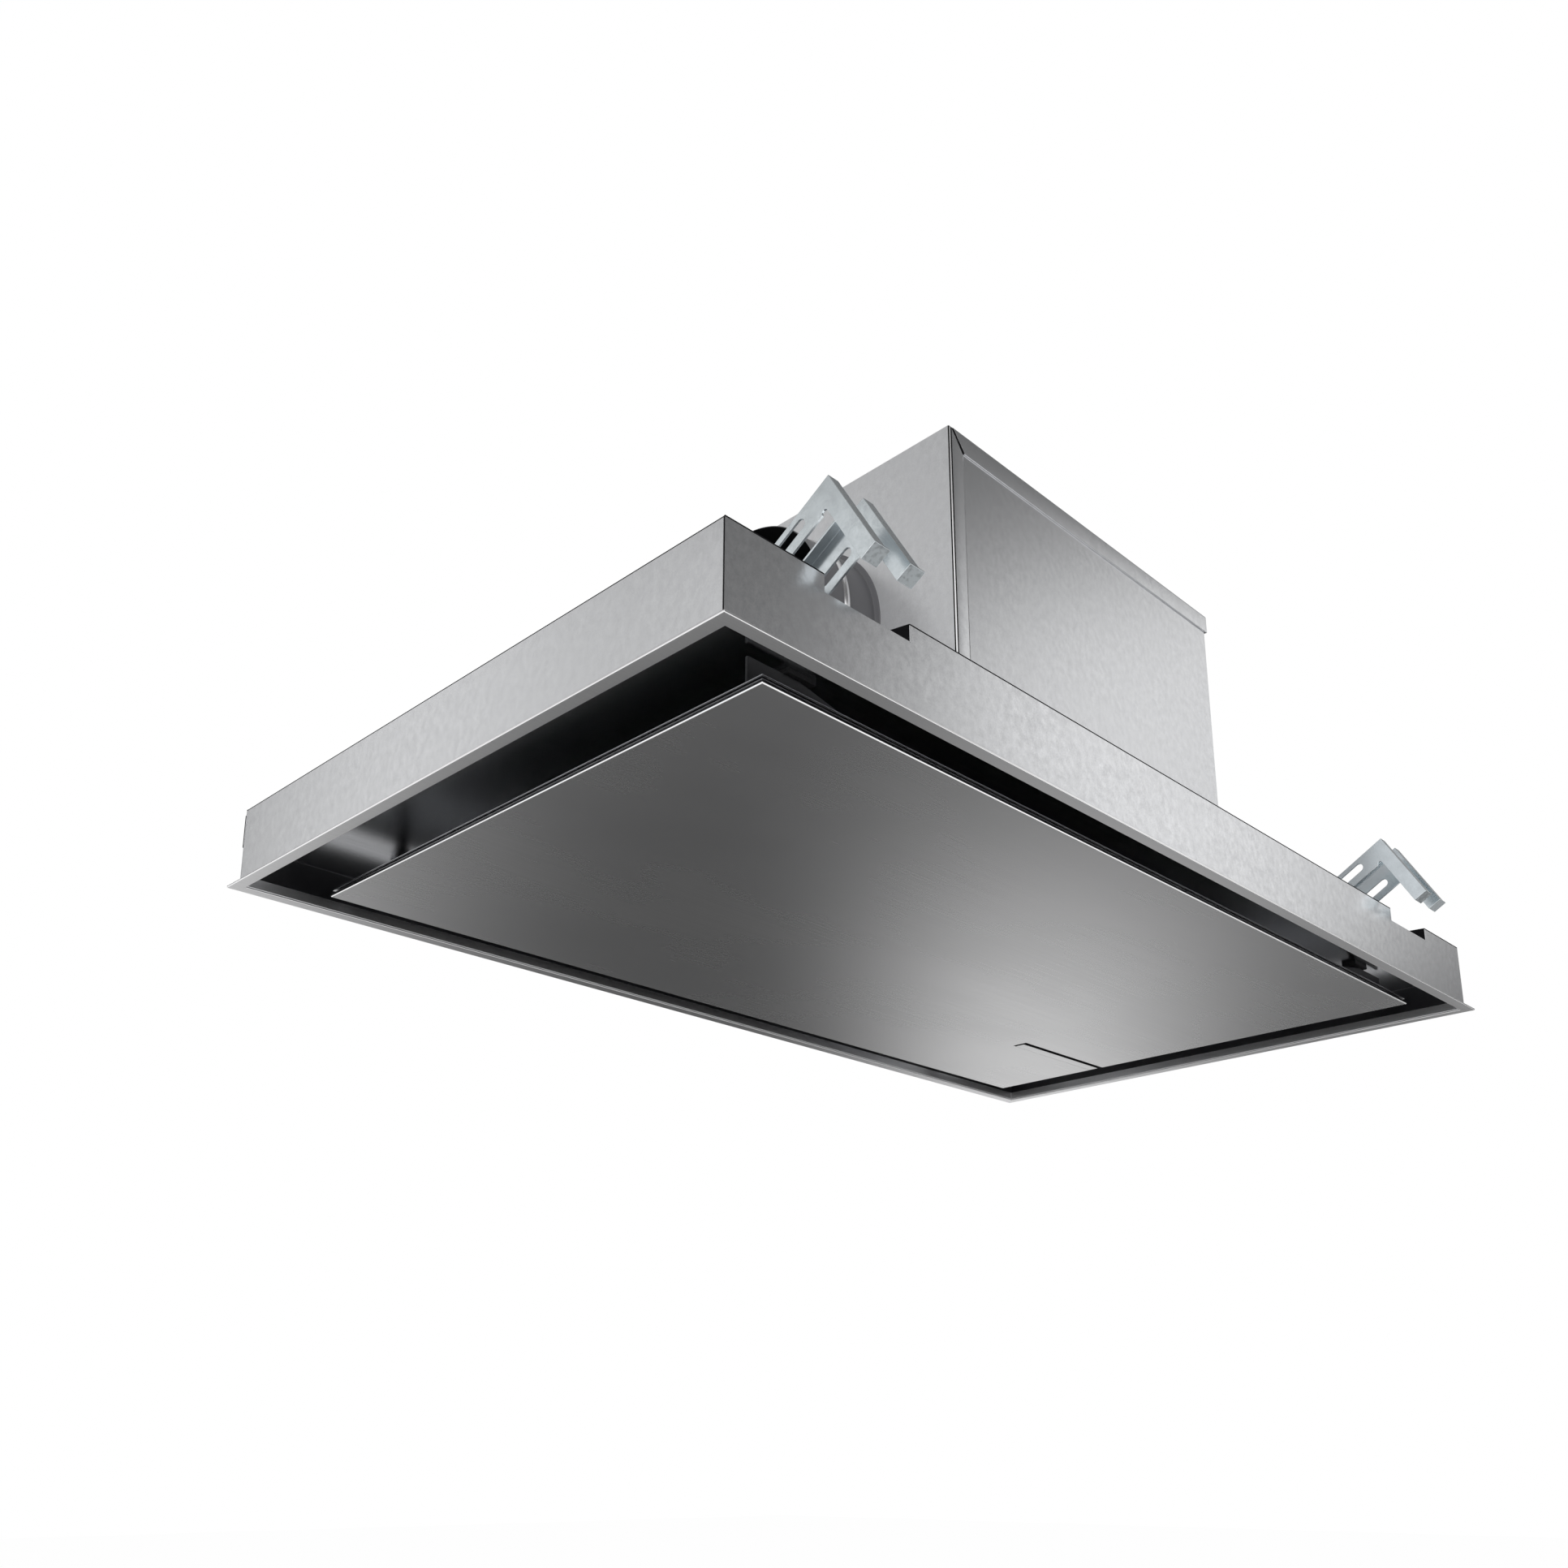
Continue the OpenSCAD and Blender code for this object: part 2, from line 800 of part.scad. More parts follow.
module panel_core() {
    color("black")
        centred([panel_l - 2 * core_inset, panel_w - 2 * core_inset, core_t], face_t);
}

module panel_backing() {
    color("silver")
        centred([panel_l - 2 * back_inset, panel_w - 2 * back_inset, back_t], face_t + core_t);
}

module panel_hinge_arms() {
    color([0.15, 0.15, 0.15]) for (s = [-1, 1]) translate([s * arm_x, hinge_y, 0])
        difference() {
            union() {
                block([-arm_foot, -arm_r, panel_t], [2 * arm_foot, 2 * arm_r, post_t]);
                block([-arm_t / 2, -arm_r, panel_t], [arm_t, 2 * arm_r, hinge_z - panel_t]);
                translate([-arm_t / 2, 0, hinge_z]) rotate([0, 90, 0])
                    cylinder(r = arm_r, h = arm_t);
            }
            translate([-arm_t / 2 - over, 0, hinge_z]) rotate([0, 90, 0])
                cylinder(r = hinge_pin_r + run_gap, h = arm_t + 2 * over);
        }
}

// Catch post of the right side: foot outwards, hook inwards
module catch_post() {
    post_top = deck_z - magnet_h - magnet_gap;
    block([arm_x - post_t / 2, post_y, panel_t], [post_t, post_w, post_top - panel_t]);
    block([arm_x - post_t / 2, post_y, panel_t], [foot_l, post_t, foot_h]);
    block([arm_x - post_t / 2, post_y, panel_t], [foot_l, post_w, post_t]);
    translate([0, post_y + post_t, 0]) rotate([90, 0, 0]) linear_extrude(post_t)
        polygon([
            [arm_x, hook_z],
            [arm_x - hook_l, hook_z - hook_h],
            [arm_x - hook_l, hook_z - hook_h / 2],
            [arm_x, hook_z + 2 * hook_h]
        ]);
}

module panel_catch_posts() {
    color([0.15, 0.15, 0.15]) {
        catch_post();
        mirror([1, 0, 0]) catch_post();
    }
}

module hinge_lugs() {
    color([0.15, 0.15, 0.15]) for (s = [-1, 1]) translate([s * arm_x, hinge_y, 0])
        for (m = [0, 1]) mirror([m, 0, 0]) difference() {
            block(
                [lug_gap / 2, -lug_d / 2, hinge_z - lug_d / 2],
                [lug_t, lug_d, deck_z - hinge_z + lug_d / 2]
            );
            translate([lug_gap / 2 - over, 0, hinge_z]) rotate([0, 90, 0])
                cylinder(r = hinge_pin_r, h = lug_t + 2 * over);
        }
}

module hinge_pins() {
    color("silver") for (s = [-1, 1])
        translate([s * arm_x - lug_gap / 2 - lug_t, hinge_y, hinge_z]) rotate([0, 90, 0]) {
            cylinder(r = hinge_pin_r, h = lug_gap + 2 * lug_t);
            translate([0, 0, -pin_head_h]) cylinder(r = pin_head_r, h = pin_head_h);
            translate([0, 0, lug_gap + 2 * lug_t]) cylinder(r = pin_head_r, h = pin_head_h);
        }
}

module catch_magnets() {
    color([0.1, 0.1, 0.1]) for (s = [-1, 1])
        translate([s * arm_x, post_y + post_w / 2, 0])
            centred([magnet_l, magnet_w, magnet_h], deck_z - magnet_h);
}

// Frame of a filter: four bars round the mesh, and two ears for the pull tab
module filter_frame() {
    difference() {
        centred([filter_l, filter_w, filter_t], filter_z);
        centred(
            [filter_l - 2 * filter_bar, filter_w - 2 * filter_bar, filter_t + 2 * over],
            filter_z - over
        );
    }
    translate([0, -filter_w / 2 + tab_from_edge, 0]) difference() {
        union() {
            block(
                [-tab_w / 2 - 2 * tab_ear_t, -tab_from_edge + filter_bar / 2, filter_z],
                [tab_w + 4 * tab_ear_t, tab_from_edge - filter_bar / 2 - tab_l - tab_ear_t, tab_ear_t]
            );
            for (s = [-1, 1])
                block(
                    [
                        s * (tab_w / 2 + pass_gap + tab_ear_t / 2) - tab_ear_t / 2,
                        -tab_from_edge + filter_bar / 2,
                        filter_z
                    ],
                    [tab_ear_t, tab_from_edge - filter_bar / 2 + tab_ear_t, 2 * tab_ear_t]
                );
        }
        translate([-tab_w, 0, tab_z]) rotate([0, 90, 0])
            cylinder(r = tab_pin_r + run_gap, h = 2 * tab_w);
    }
}

module left_filter_frame() {
    color("lightgray") translate([-filter_cx, 0, 0]) filter_frame();
}

module right_filter_frame() {
    color("lightgray") translate([filter_cx, 0, 0]) filter_frame();
}

// Two slotted aluminium sheets, set half a pitch apart
module filter_mesh() {
    mesh_l = filter_l - 2 * filter_bar;
    mesh_w = filter_w - 2 * filter_bar;
    pitch = mesh_l / slot_count;
    difference() {
        centred([mesh_l, mesh_w, mesh_t], filter_z + filter_t - mesh_depth - mesh_t);
        for (i = [0 : slot_count - 1])
            translate([(i + 0.5) * pitch - mesh_l / 2, 0, filter_z + filter_t - mesh_depth - mesh_t - over])
                centred([pitch / 2, mesh_w - 2 * pitch, mesh_t + 2 * over], 0);
    }
    difference() {
        centred([mesh_l, mesh_w, mesh_t], filter_z + 2 * mesh_depth);
        for (i = [1 : slot_count - 1])
            translate([i * pitch - mesh_l / 2, 0, filter_z + 2 * mesh_depth - over])
                centred([pitch / 2, mesh_w - 2 * pitch, mesh_t + 2 * over], 0);
    }
}

module left_filter_mesh() {
    color("silver") translate([-filter_cx, 0, 0]) filter_mesh();
}

module right_filter_mesh() {
    color("silver") translate([filter_cx, 0, 0]) filter_mesh();
}

// Pull tab of a filter, lying flat towards the front, on two short pins
module filter_tab() {
    translate([0, -filter_w / 2 + tab_from_edge, 0]) {
        block([-tab_w / 2, -tab_l, tab_z - tab_t / 2], [tab_w, tab_l, tab_t]);
        translate([-tab_w / 2 - tab_pin_l / 2, 0, tab_z]) rotate([0, 90, 0])
            cylinder(r = tab_pin_r, h = tab_w + tab_pin_l);
    }
}

module left_filter_tab() {
    color("dimgray") translate([-filter_cx, 0, 0]) filter_tab();
}

module right_filter_tab() {
    color("dimgray") translate([filter_cx, 0, 0]) filter_tab();
}

// Leaf springs on the deck that grip each filter's two long ends
module filter_clips() {
    color("gold") for (s = [-1, 1]) for (x = [-filter_cx, filter_cx])
        mirror([0, s < 0 ? 1 : 0, 0]) translate([x, filter_w / 2 + clip_gap, deck_top]) {
            block([-clip_l / 2, 0, 0], [clip_l, clip_foot, clip_t]);
            block([-clip_l / 2, 0, 0], [clip_l, clip_t, filter_t]);
        }
}

// Turns an outline drawn along the leg and across it into the clamp's rest position.
// Its first axis runs down the leg and its second runs away from the arm.
module clamp_sheet(x, t) {
    translate([x, 0, 0]) rotate([90, 0, 90]) linear_extrude(t)
        rotate(-clamp_a) translate([-pivot_s, pivot_t]) children();
}

// Outline of a cheek: leg, arm and the ear round the pivot
module cheek2d(w, slot_s, slot_t, slot_l) {
    difference() {
        union() {
            translate([0, -w]) square([leg_l, w]);
            translate([0, -arm_l]) square([arm_w, arm_l]);
            translate([pivot_s, -pivot_t]) circle(ear_r);
        }
        translate([slot_s + slot_l / 2, -slot_t]) slot2d(slot_l, slot_w);
        translate([arm_w + relief_d / 2, -w]) circle(relief_d / 2);
        translate([pivot_s, -pivot_t]) circle(pivot_r + run_gap);
    }
}

// One clamp about its pivot: two cheeks, the web that joins them, hems and pads
module clamp_body() {
    right_x = clamp_w - clamp_t;
    clamp_sheet(0, clamp_t) cheek2d(leg_w, slot_a_s, slot_a_t, slot_a_l);
    clamp_sheet(right_x, clamp_t) cheek2d(leg2_w, slot_c_s, slot_c_t, slot_c_l);
    clamp_sheet(0, clamp_w) translate([web_s, -clamp_t]) square([leg_l - web_s, clamp_t]);
    clamp_sheet(right_x - flange2_w, flange2_w) translate([flange2_s, -clamp_t])
        square([web_s - flange2_s, clamp_t]);
    for (x = [0, right_x]) {
        clamp_sheet(x, hem_w) translate([0, -arm_l]) square([clamp_t, arm_l]);
        clamp_sheet(x, pad_w) translate([0, -arm_l]) square([arm_w, clamp_t]);
    }
}

module place_clamp(x) {
    translate([x, -pivot_y, pivot_z]) clamp_body();
}

module front_left_clamp() {
    color("lightsteelblue") place_clamp(clamp_x0);
}

module front_right_clamp() {
    color("lightsteelblue") place_clamp(clamp_x1);
}

module rear_left_clamp() {
    color("lightsteelblue") rotate([0, 0, 180]) place_clamp(clamp_x1);
}

module rear_right_clamp() {
    color("lightsteelblue") rotate([0, 0, 180]) place_clamp(clamp_x0);
}

// A clamp's post: two lugs and the strip that joins them on the deck
module clamp_post(x) {
    inner = clamp_w - 2 * clamp_t - 2 * stand_gap;
    translate([x + clamp_t + stand_gap, -pivot_y, 0]) difference() {
        union() {
            block([0, -stand_base_y, deck_top], [inner, 2 * stand_base_y, stand_t]);
            for (lx = [0, inner - stand_t]) {
                block(
                    [lx, -stand_half, deck_top],
                    [stand_t, 2 * stand_half, pivot_z - deck_top]
                );
                translate([lx, 0, pivot_z]) rotate([0, 90, 0])
                    cylinder(r = stand_half, h = stand_t);
            }
        }
        translate([-over, 0, pivot_z]) rotate([0, 90, 0])
            cylinder(r = pivot_r, h = inner + 2 * over);
    }
}

module clamp_posts() {
    color("gray") for (turn = [0, 180]) rotate([0, 0, turn]) for (x = [clamp_x0, clamp_x1])
        clamp_post(x);
}

module clamp_pins() {
    color("silver") for (turn = [0, 180]) rotate([0, 0, turn]) for (x = [clamp_x0, clamp_x1])
        translate([x - pass_gap, -pivot_y, pivot_z]) rotate([0, 90, 0]) {
            cylinder(r = pivot_r, h = clamp_w + 2 * pass_gap);
            translate([0, 0, -head_over]) cylinder(r = 2 * pivot_r, h = head_over);
            translate([0, 0, clamp_w + 2 * pass_gap]) cylinder(r = 2 * pivot_r, h = head_over);
        }
}

module screw_head() {
    cylinder(r = screw_r, h = screw_h);
}

module housing_screws() {
    color("silver") {
        for (x = [control_x - control_l / 2 + gland_r, control_x + control_l / 2 - gland_r])
            for (y = [control_y - control_w / 2 + gland_r, control_y + control_w / 2 - gland_r])
                translate([x, y, plenum_top + control_h]) screw_head();
        for (z = [plenum_top + 2 * fold_w, box_top - 2 * fold_w])
            translate([box_x0 + fold_w / 2, -box_y0, z]) rotate([-90, 0, 0]) screw_head();
        for (s = [-1, 1])
            translate([lid_x1, s * box_w / 3, box_top - lid_drop / 2]) rotate([0, 90, 0])
                screw_head();
    }
}

ceiling_flange();
inner_skirt();
front_wall();
rear_wall();
left_wall();
right_wall();
corner_plate();
deck_plate();
intake_plenum();
box_left_sheet();
box_right_sheet();
box_front_sheet();
box_rear_sheet();
box_lid();
duct_collar();
flap_rod();
front_flap();
rear_flap();
fan_scroll();
scroll_cover();
inlet_ring();
motor_plate();
motor_housing();
motor_bearings();
motor_mounts();
motor_shaft();
impeller();
control_box();
control_cover();
cable_gland();
panel_face();
panel_core();
panel_backing();
panel_strip();
panel_hinge_arms();
panel_catch_posts();
hinge_lugs();
hinge_pins();
catch_magnets();
left_filter_frame();
left_filter_mesh();
left_filter_tab();
right_filter_frame();
right_filter_mesh();
right_filter_tab();
filter_clips();
front_left_clamp();
front_right_clamp();
rear_left_clamp();
rear_right_clamp();
clamp_posts();
clamp_pins();
housing_screws();
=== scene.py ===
"""Looks of the ceiling range hood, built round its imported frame."""

import math

import bmesh
import bpy
from mathutils import Matrix, Vector


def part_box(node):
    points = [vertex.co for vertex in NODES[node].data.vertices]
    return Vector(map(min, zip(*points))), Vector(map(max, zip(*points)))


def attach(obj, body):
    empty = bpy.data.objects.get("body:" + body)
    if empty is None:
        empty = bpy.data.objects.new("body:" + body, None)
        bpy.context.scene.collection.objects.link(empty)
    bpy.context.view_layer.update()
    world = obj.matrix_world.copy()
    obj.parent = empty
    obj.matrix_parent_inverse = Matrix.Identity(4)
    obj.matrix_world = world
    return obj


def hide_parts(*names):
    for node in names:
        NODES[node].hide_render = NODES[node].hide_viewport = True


bl_info = {
    "name": "Ceiling range hood",
    "version": (1, 0, 0),
    "blender": (4, 5, 0),
    "location": "3D View > Sidebar > Hood",
    "description": "Builds the ceiling range hood piece by piece round its frame",
    "category": "Object",
}

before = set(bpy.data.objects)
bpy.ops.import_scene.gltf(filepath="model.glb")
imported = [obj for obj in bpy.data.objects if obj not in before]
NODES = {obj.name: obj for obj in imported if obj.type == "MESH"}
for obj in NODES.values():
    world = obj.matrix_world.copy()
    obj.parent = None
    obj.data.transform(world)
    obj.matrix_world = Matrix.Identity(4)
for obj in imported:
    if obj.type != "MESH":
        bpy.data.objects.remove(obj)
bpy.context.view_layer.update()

MM = 0.001
TINY = 0.02 * MM  # how far a point may lie from the place where it is looked for
WELD = 0.005 * MM  # points of a piece that lie closer are one point
NODE_WELD = 0.004 * MM  # the same for the frame's own solids
QUARTER, HALF_TURN = math.pi / 2, math.pi
# Turns that bring the Z axis along X, Y or Z
ALONG = ((0, QUARTER, 0), (QUARTER, 0, 0), (0, 0, 0))

# The walls' upper rim is painted shade: a black line where a shadow falls under the upper edge
PAINTED_SHADE_RIM = 0.9 * MM  # height of the dark line under the walls' upper edge
COLLAR_OUTER = 75 * MM
COLLAR_BORE = 74 * MM
PAD_DROP = math.radians(60)  # how far below the level the clamps' pads look


def length(name, description, default):
    return bpy.props.FloatProperty(
        name=name, description=description, default=default, unit="LENGTH", min=0.0, precision=5
    )


def colour(name, description, default):
    return bpy.props.FloatVectorProperty(
        name=name, description=description, default=default, subtype="COLOR", size=3, min=0, max=1
    )


class HoodSizes(bpy.types.PropertyGroup):
    """Sizes of the details that the frame leaves open"""

    lip_rim: length("Flange rim", "Width of the flange's lower face", 9.2 * MM)
    fold_radius: length("Fold radius", "Radius of the folds in the sheet metal", 1.9 * MM)
    edge_radius: length("Edge radius", "Radius of cut sheet edges", 0.4 * MM)
    panel_bevel: length("Panel bevel", "Bevel round the cover panel's lower face", 0.9 * MM)
    zinc_cloud: length("Zinc cloud", "Size of the clouds in galvanised sheet", 5 * MM)
    brush_pitch: length("Brush pitch", "Distance between brush lines", 1.6 * MM)
    floor_drop: length("Floor drop", "Height of the hood above the floor", 900 * MM)


class HoodColours(bpy.types.PropertyGroup):
    """Colours of the hood's finishes"""

    zinc_light: colour("Zinc light", "Light clouds of the galvanised sheet", (0.755, 0.762, 0.776))
    zinc_dark: colour("Zinc dark", "Dark clouds of the galvanised sheet", (0.655, 0.66, 0.674))
    stainless: colour("Stainless", "Brushed stainless steel", (0.56, 0.56, 0.565))
    # Painted highlight: this tone paints the glints along the sheets' edges, the box's bends, the
    # deck's border and the collar's bead, not wear
    bright: colour("Bright edge", "Worn and cut edges of the sheets", (0.93, 0.93, 0.94))
    deck: colour("Deck", "Polished stainless deck", (0.62, 0.63, 0.65))
    black: colour("Black", "Black painted sheet", (0.012, 0.012, 0.014))
    plastic: colour("Plastic", "Dark plastic", (0.03, 0.03, 0.032))
    collar: colour("Collar", "Duct collar", (0.27, 0.27, 0.28))
    plating: colour("Plating", "Zinc plated clamps", (0.83, 0.89, 0.92))
    aluminium: colour("Aluminium", "Filter aluminium", (0.78, 0.78, 0.79))
    backdrop: colour("Backdrop", "Floor and backdrop", (1.0, 1.0, 1.0))


# Selection


def object_mode():
    if bpy.context.mode != "OBJECT":
        bpy.ops.object.mode_set(mode="OBJECT")


def clear_selection():
    object_mode()
    bpy.ops.object.select_all(action="DESELECT")


def make_active(obj):
    clear_selection()
    obj.select_set(True)
    bpy.context.view_layer.objects.active = obj


def open_all(obj):
    """Opens the mesh with all of it selected."""
    make_active(obj)
    bpy.ops.object.mode_set(mode="EDIT")
    bpy.ops.mesh.select_all(action="SELECT")


def pick(obj, test, kind="EDGE"):
    """Opens the mesh and selects what passes the test at every corner."""
    make_active(obj)
    bpy.ops.object.mode_set(mode="EDIT")
    bpy.ops.mesh.select_mode(type=kind)
    bpy.ops.mesh.select_all(action="DESELECT")
    mesh = bmesh.from_edit_mesh(obj.data)
    found = {"VERT": mesh.verts, "EDGE": mesh.edges, "FACE": mesh.faces}[kind]
    for item in found:
        corners = [item.co] if kind == "VERT" else [v.co for v in item.verts]
        if all(test(c) for c in corners):
            item.select_set(True)
    mesh.select_flush_mode()
    bmesh.update_edit_mesh(obj.data)


def near(value, place):
    return abs(value - place) < TINY


def on_side(c, low, high, axis):
    """Whether a point lies on one of a box's two sides across an axis."""
    return near(c[axis], low[axis]) or near(c[axis], high[axis])


def on_column(c, low, high):
    """Whether a point lies on one of a box's four upright edges."""
    return on_side(c, low, high, 0) and on_side(c, low, high, 1)


def in_border(c, high, width):
    """Whether a point lies in the border of a plate that is centred on the origin."""
    return abs(c.x) > high.x - width or abs(c.y) > high.y - width


# Placing and starting pieces


def settle(obj):
    make_active(obj)
    bpy.ops.object.transform_apply(location=True, rotation=True, scale=True)
    return obj


def named(name):
    obj = bpy.context.view_layer.objects.active
    obj.name = name
    obj.data.name = name
    return settle(obj)


def at(spot, turn=0.0, axis="Y"):
    """Where something goes that is turned round an axis and then moved."""
    return Matrix.Translation(spot) @ Matrix.Rotation(turn, 4, axis)


def place(obj, matrix):
    obj.matrix_world = matrix @ obj.matrix_world
    return settle(obj)


def own_copy(obj, name, matrix):
    twin = bpy.data.objects.new(name, obj.data.copy())
    twin.data.name = name
    bpy.context.scene.collection.objects.link(twin)
    return place(twin, matrix)


def start_block(name, low, high):
    """A block between two corners, as the start of a piece."""
    clear_selection()
    low, high = Vector(low), Vector(high)
    bpy.ops.mesh.primitive_cube_add(size=1, location=(low + high) / 2, scale=high - low)
    return named(name)


def start_sheet(name, low, high):
    """A flat face between two corners that share one coordinate."""
    low, high = Vector(low), Vector(high)
    size, middle = high - low, (low + high) / 2
    flat = min(range(3), key=lambda i: abs(size[i]))
    size[flat] = 1.0
    clear_selection()
    bpy.ops.mesh.primitive_plane_add(size=1, location=middle, rotation=ALONG[flat])
    sheet = named(name)
    open_all(sheet)
    bpy.ops.transform.resize(value=size, center_override=middle)
    object_mode()
    return sheet


def start_cylinder(name, radius, depth, centre, axis, sides):
    clear_selection()
    bpy.ops.mesh.primitive_cylinder_add(
        vertices=sides, radius=radius, depth=depth, location=centre,
        rotation=ALONG["XYZ".index(axis)],
    )
    return named(name)


def shape_of(node, name):
    """A merged copy of a frame node, with its flat faces made whole again."""
    obj = bpy.data.objects.new(name, NODES[node].data.copy())
    obj.data.name = name
    bpy.context.scene.collection.objects.link(obj)
    open_all(obj)
    bpy.ops.mesh.remove_doubles(threshold=NODE_WELD)
    bpy.ops.mesh.dissolve_limited(angle_limit=math.radians(0.8))
    object_mode()
    obj.data.materials.clear()
    return obj


# Shaping


def extrude(vector):
    bpy.ops.mesh.extrude_region_move(TRANSFORM_OT_translate={"value": vector})


def pull_edges(obj, test, vector):
    """Folds a new strip of sheet out of the edges that pass the test."""
    pick(obj, test, "EDGE")
    extrude(vector)
    object_mode()


def move_corners(obj, test, vector):
    pick(obj, test, "VERT")
    bpy.ops.transform.translate(value=vector)
    object_mode()


def delete_faces(obj, test):
    pick(obj, test, "FACE")
    bpy.ops.mesh.delete(type="FACE")
    object_mode()


def bevel_edges(obj, test, width, segments=3):
    pick(obj, test, "EDGE")
    bpy.ops.mesh.bevel(offset=width, offset_type="OFFSET", segments=segments, affect="EDGES")
    object_mode()


def slice_at(obj, axis, where):
    """Adds edges where a plane across the axis meets the mesh."""
    open_all(obj)
    point, normal = Vector(), Vector()
    point[axis], normal[axis] = where, 1.0
    bpy.ops.mesh.bisect(plane_co=point, plane_no=normal)
    object_mode()


def outward(obj, merge=WELD):
    """Merges close points and turns all faces outwards."""
    open_all(obj)
    bpy.ops.mesh.remove_doubles(threshold=merge)
    bpy.ops.mesh.normals_make_consistent(inside=False)
    object_mode()


def apply_modifier(obj, kind, **settings):
    make_active(obj)
    bpy.ops.object.modifier_add(type=kind)
    modifier = obj.modifiers[-1]
    for key, value in settings.items():
        setattr(modifier, key, value)
    bpy.ops.object.modifier_apply(modifier=modifier.name)


def thicken(obj, thickness, side=-1):
    apply_modifier(obj, "SOLIDIFY", thickness=thickness, offset=side, use_even_offset=True)


def thicken_behind(sheet, thickness, outside):
    """Thickens a folded sheet behind the side that looks outside."""
    outward(sheet)
    largest = max(sheet.data.polygons, key=lambda face: face.area)
    thicken(sheet, thickness, -1 if largest.normal.dot(Vector(outside)) > 0 else 1)
    outward(sheet)


def smooth(obj, angle=40):
    """Smooth bends, with the wide flat faces kept flat."""
    make_active(obj)
    bpy.ops.object.shade_smooth_by_angle(angle=math.radians(angle))
    apply_modifier(obj, "WEIGHTED_NORMAL", keep_sharp=True, weight=80)


def round_edges(obj, width=None, segments=2, angle=32):
    """Rounds the edges that are sharper than an angle, by the sheets' own radius if none."""
    if width is None:
        width = bpy.context.scene.hood_sizes.edge_radius
    apply_modifier(
        obj, "BEVEL", width=width, segments=segments, limit_method="ANGLE",
        angle_limit=math.radians(angle), use_clamp_overlap=True,
    )
    smooth(obj)


def cut(obj, cutter):
    apply_modifier(obj, "BOOLEAN", operation="DIFFERENCE", object=cutter, solver="EXACT")
    bpy.data.objects.remove(cutter)


def join(name, parts, angle=None):
    """Makes one piece of several parts, with bends up to an angle made smooth."""
    clear_selection()
    for part in parts:
        part.select_set(True)
    bpy.context.view_layer.objects.active = parts[0]
    bpy.ops.object.join()
    piece = named(name)
    if angle:
        smooth(piece, angle)
    return piece


def lathe(name, profile, sides):
    """Turns a closed outline of (radius, height) points round Z."""
    clear_selection()
    radius, height = profile[0]
    bpy.ops.mesh.primitive_circle_add(
        vertices=sides, radius=radius, location=(0, 0, height), fill_type="NOTHING"
    )
    obj = named(name)
    bpy.ops.object.mode_set(mode="EDIT")
    bpy.ops.mesh.select_mode(type="EDGE")
    bpy.ops.mesh.select_all(action="SELECT")
    for next_radius, next_height in profile[1:] + profile[:1]:
        extrude((0, 0, next_height - height))
        share = next_radius / radius
        bpy.ops.transform.resize(value=(share, share, 1), center_override=(0, 0, 0))
        radius, height = next_radius, next_height
    object_mode()
    outward(obj)
    return obj


def dome(name, radius, height, sides=32):
    """A low domed head that stands on z = 0."""
    steps, shoulder, bulge = 5, 0.35, 0.6
    core = radius * 0.04
    profile = [(core, 0.0), (radius, 0.0), (radius, height * shoulder)]
    for step in range(1, steps + 1):
        angle = QUARTER * step / steps
        profile.append((
            max(core, radius * math.cos(angle) ** bulge),
            height * (shoulder + (1 - shoulder) * math.sin(angle)),
        ))
    obj = lathe(name, profile, sides)
    outward(obj, core * 1.2)
    smooth(obj, 35)
    return obj


def pin_heads(spot, reach, radius, height):
    """The two domed heads of a pin that lies along X round its spot."""
    return [
        place(
            dome("pin_head", radius, height), spot @ at((end * reach, 0, 0), end * QUARTER)
        )
        for end in (-1, 1)
    ]


def solid_islands(mesh):
    """Low and high corner of each separate solid in a mesh."""
    work = bmesh.new()
    work.from_mesh(mesh)
    bmesh.ops.remove_doubles(work, verts=work.verts, dist=NODE_WELD)
    seen, islands = set(), []
    for start in work.verts:
        if start in seen:
            continue
        seen.add(start)
        stack, points = [start], []
        while stack:
            vert = stack.pop()
            points.append(vert.co.copy())
            fresh = {edge.other_vert(vert) for edge in vert.link_edges} - seen
            seen |= fresh
            stack.extend(fresh)
        islands.append([Vector(limit(p[i] for p in points) for i in range(3))
                        for limit in (min, max)])
    work.free()
    return islands


# Finishing


def finish_piece(obj, body, finish, node):
    """Gives a piece its finish, its body and the node that it replaces."""
    obj.data.materials.clear()
    obj.data.materials.append(bpy.data.materials[finish])
    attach(obj, body)
    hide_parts(node)
    return obj


def second_finish(obj, finish, test):
    """Gives the faces whose middle and normal pass the test another finish."""
    obj.data.materials.append(bpy.data.materials[finish])
    index = len(obj.data.materials) - 1
    for face in obj.data.polygons:
        if test(face.center, face.normal):
            face.material_index = index


def block_piece(node, name, body, finish, edge):
    """A plain block in a node's place."""
    piece = start_block(name, *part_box(node))
    round_edges(piece, edge)
    finish_piece(piece, body, finish, node)


def shape_piece(node, name, body, finish, edge, segments=2):
    """A node's own shape with rounded edges."""
    piece = shape_of(node, name)
    round_edges(piece, edge, segments)
    return finish_piece(piece, body, finish, node)


# Node tools


def add(tree, kind, **values):
    node = tree.nodes.new(kind)
    for key, value in values.items():
        setattr(node, key, value)
    return node


def feed(tree, socket, value):
    """Links a socket to another one, or gives it a plain value."""
    if isinstance(value, bpy.types.NodeSocket):
        tree.links.new(value, socket)
    else:
        socket.default_value = value


def math_node(tree, operation, *values):
    node = add(tree, "ShaderNodeMath", operation=operation)
    for socket, value in zip(node.inputs, values):
        feed(tree, socket, value)
    return node.outputs[0]


def weighted(tree, first, first_share, second, second_share):
    """The sum of two values, each times its share."""
    return math_node(
        tree, "ADD", math_node(tree, "MULTIPLY", first, first_share),
        math_node(tree, "MULTIPLY", second, second_share),
    )


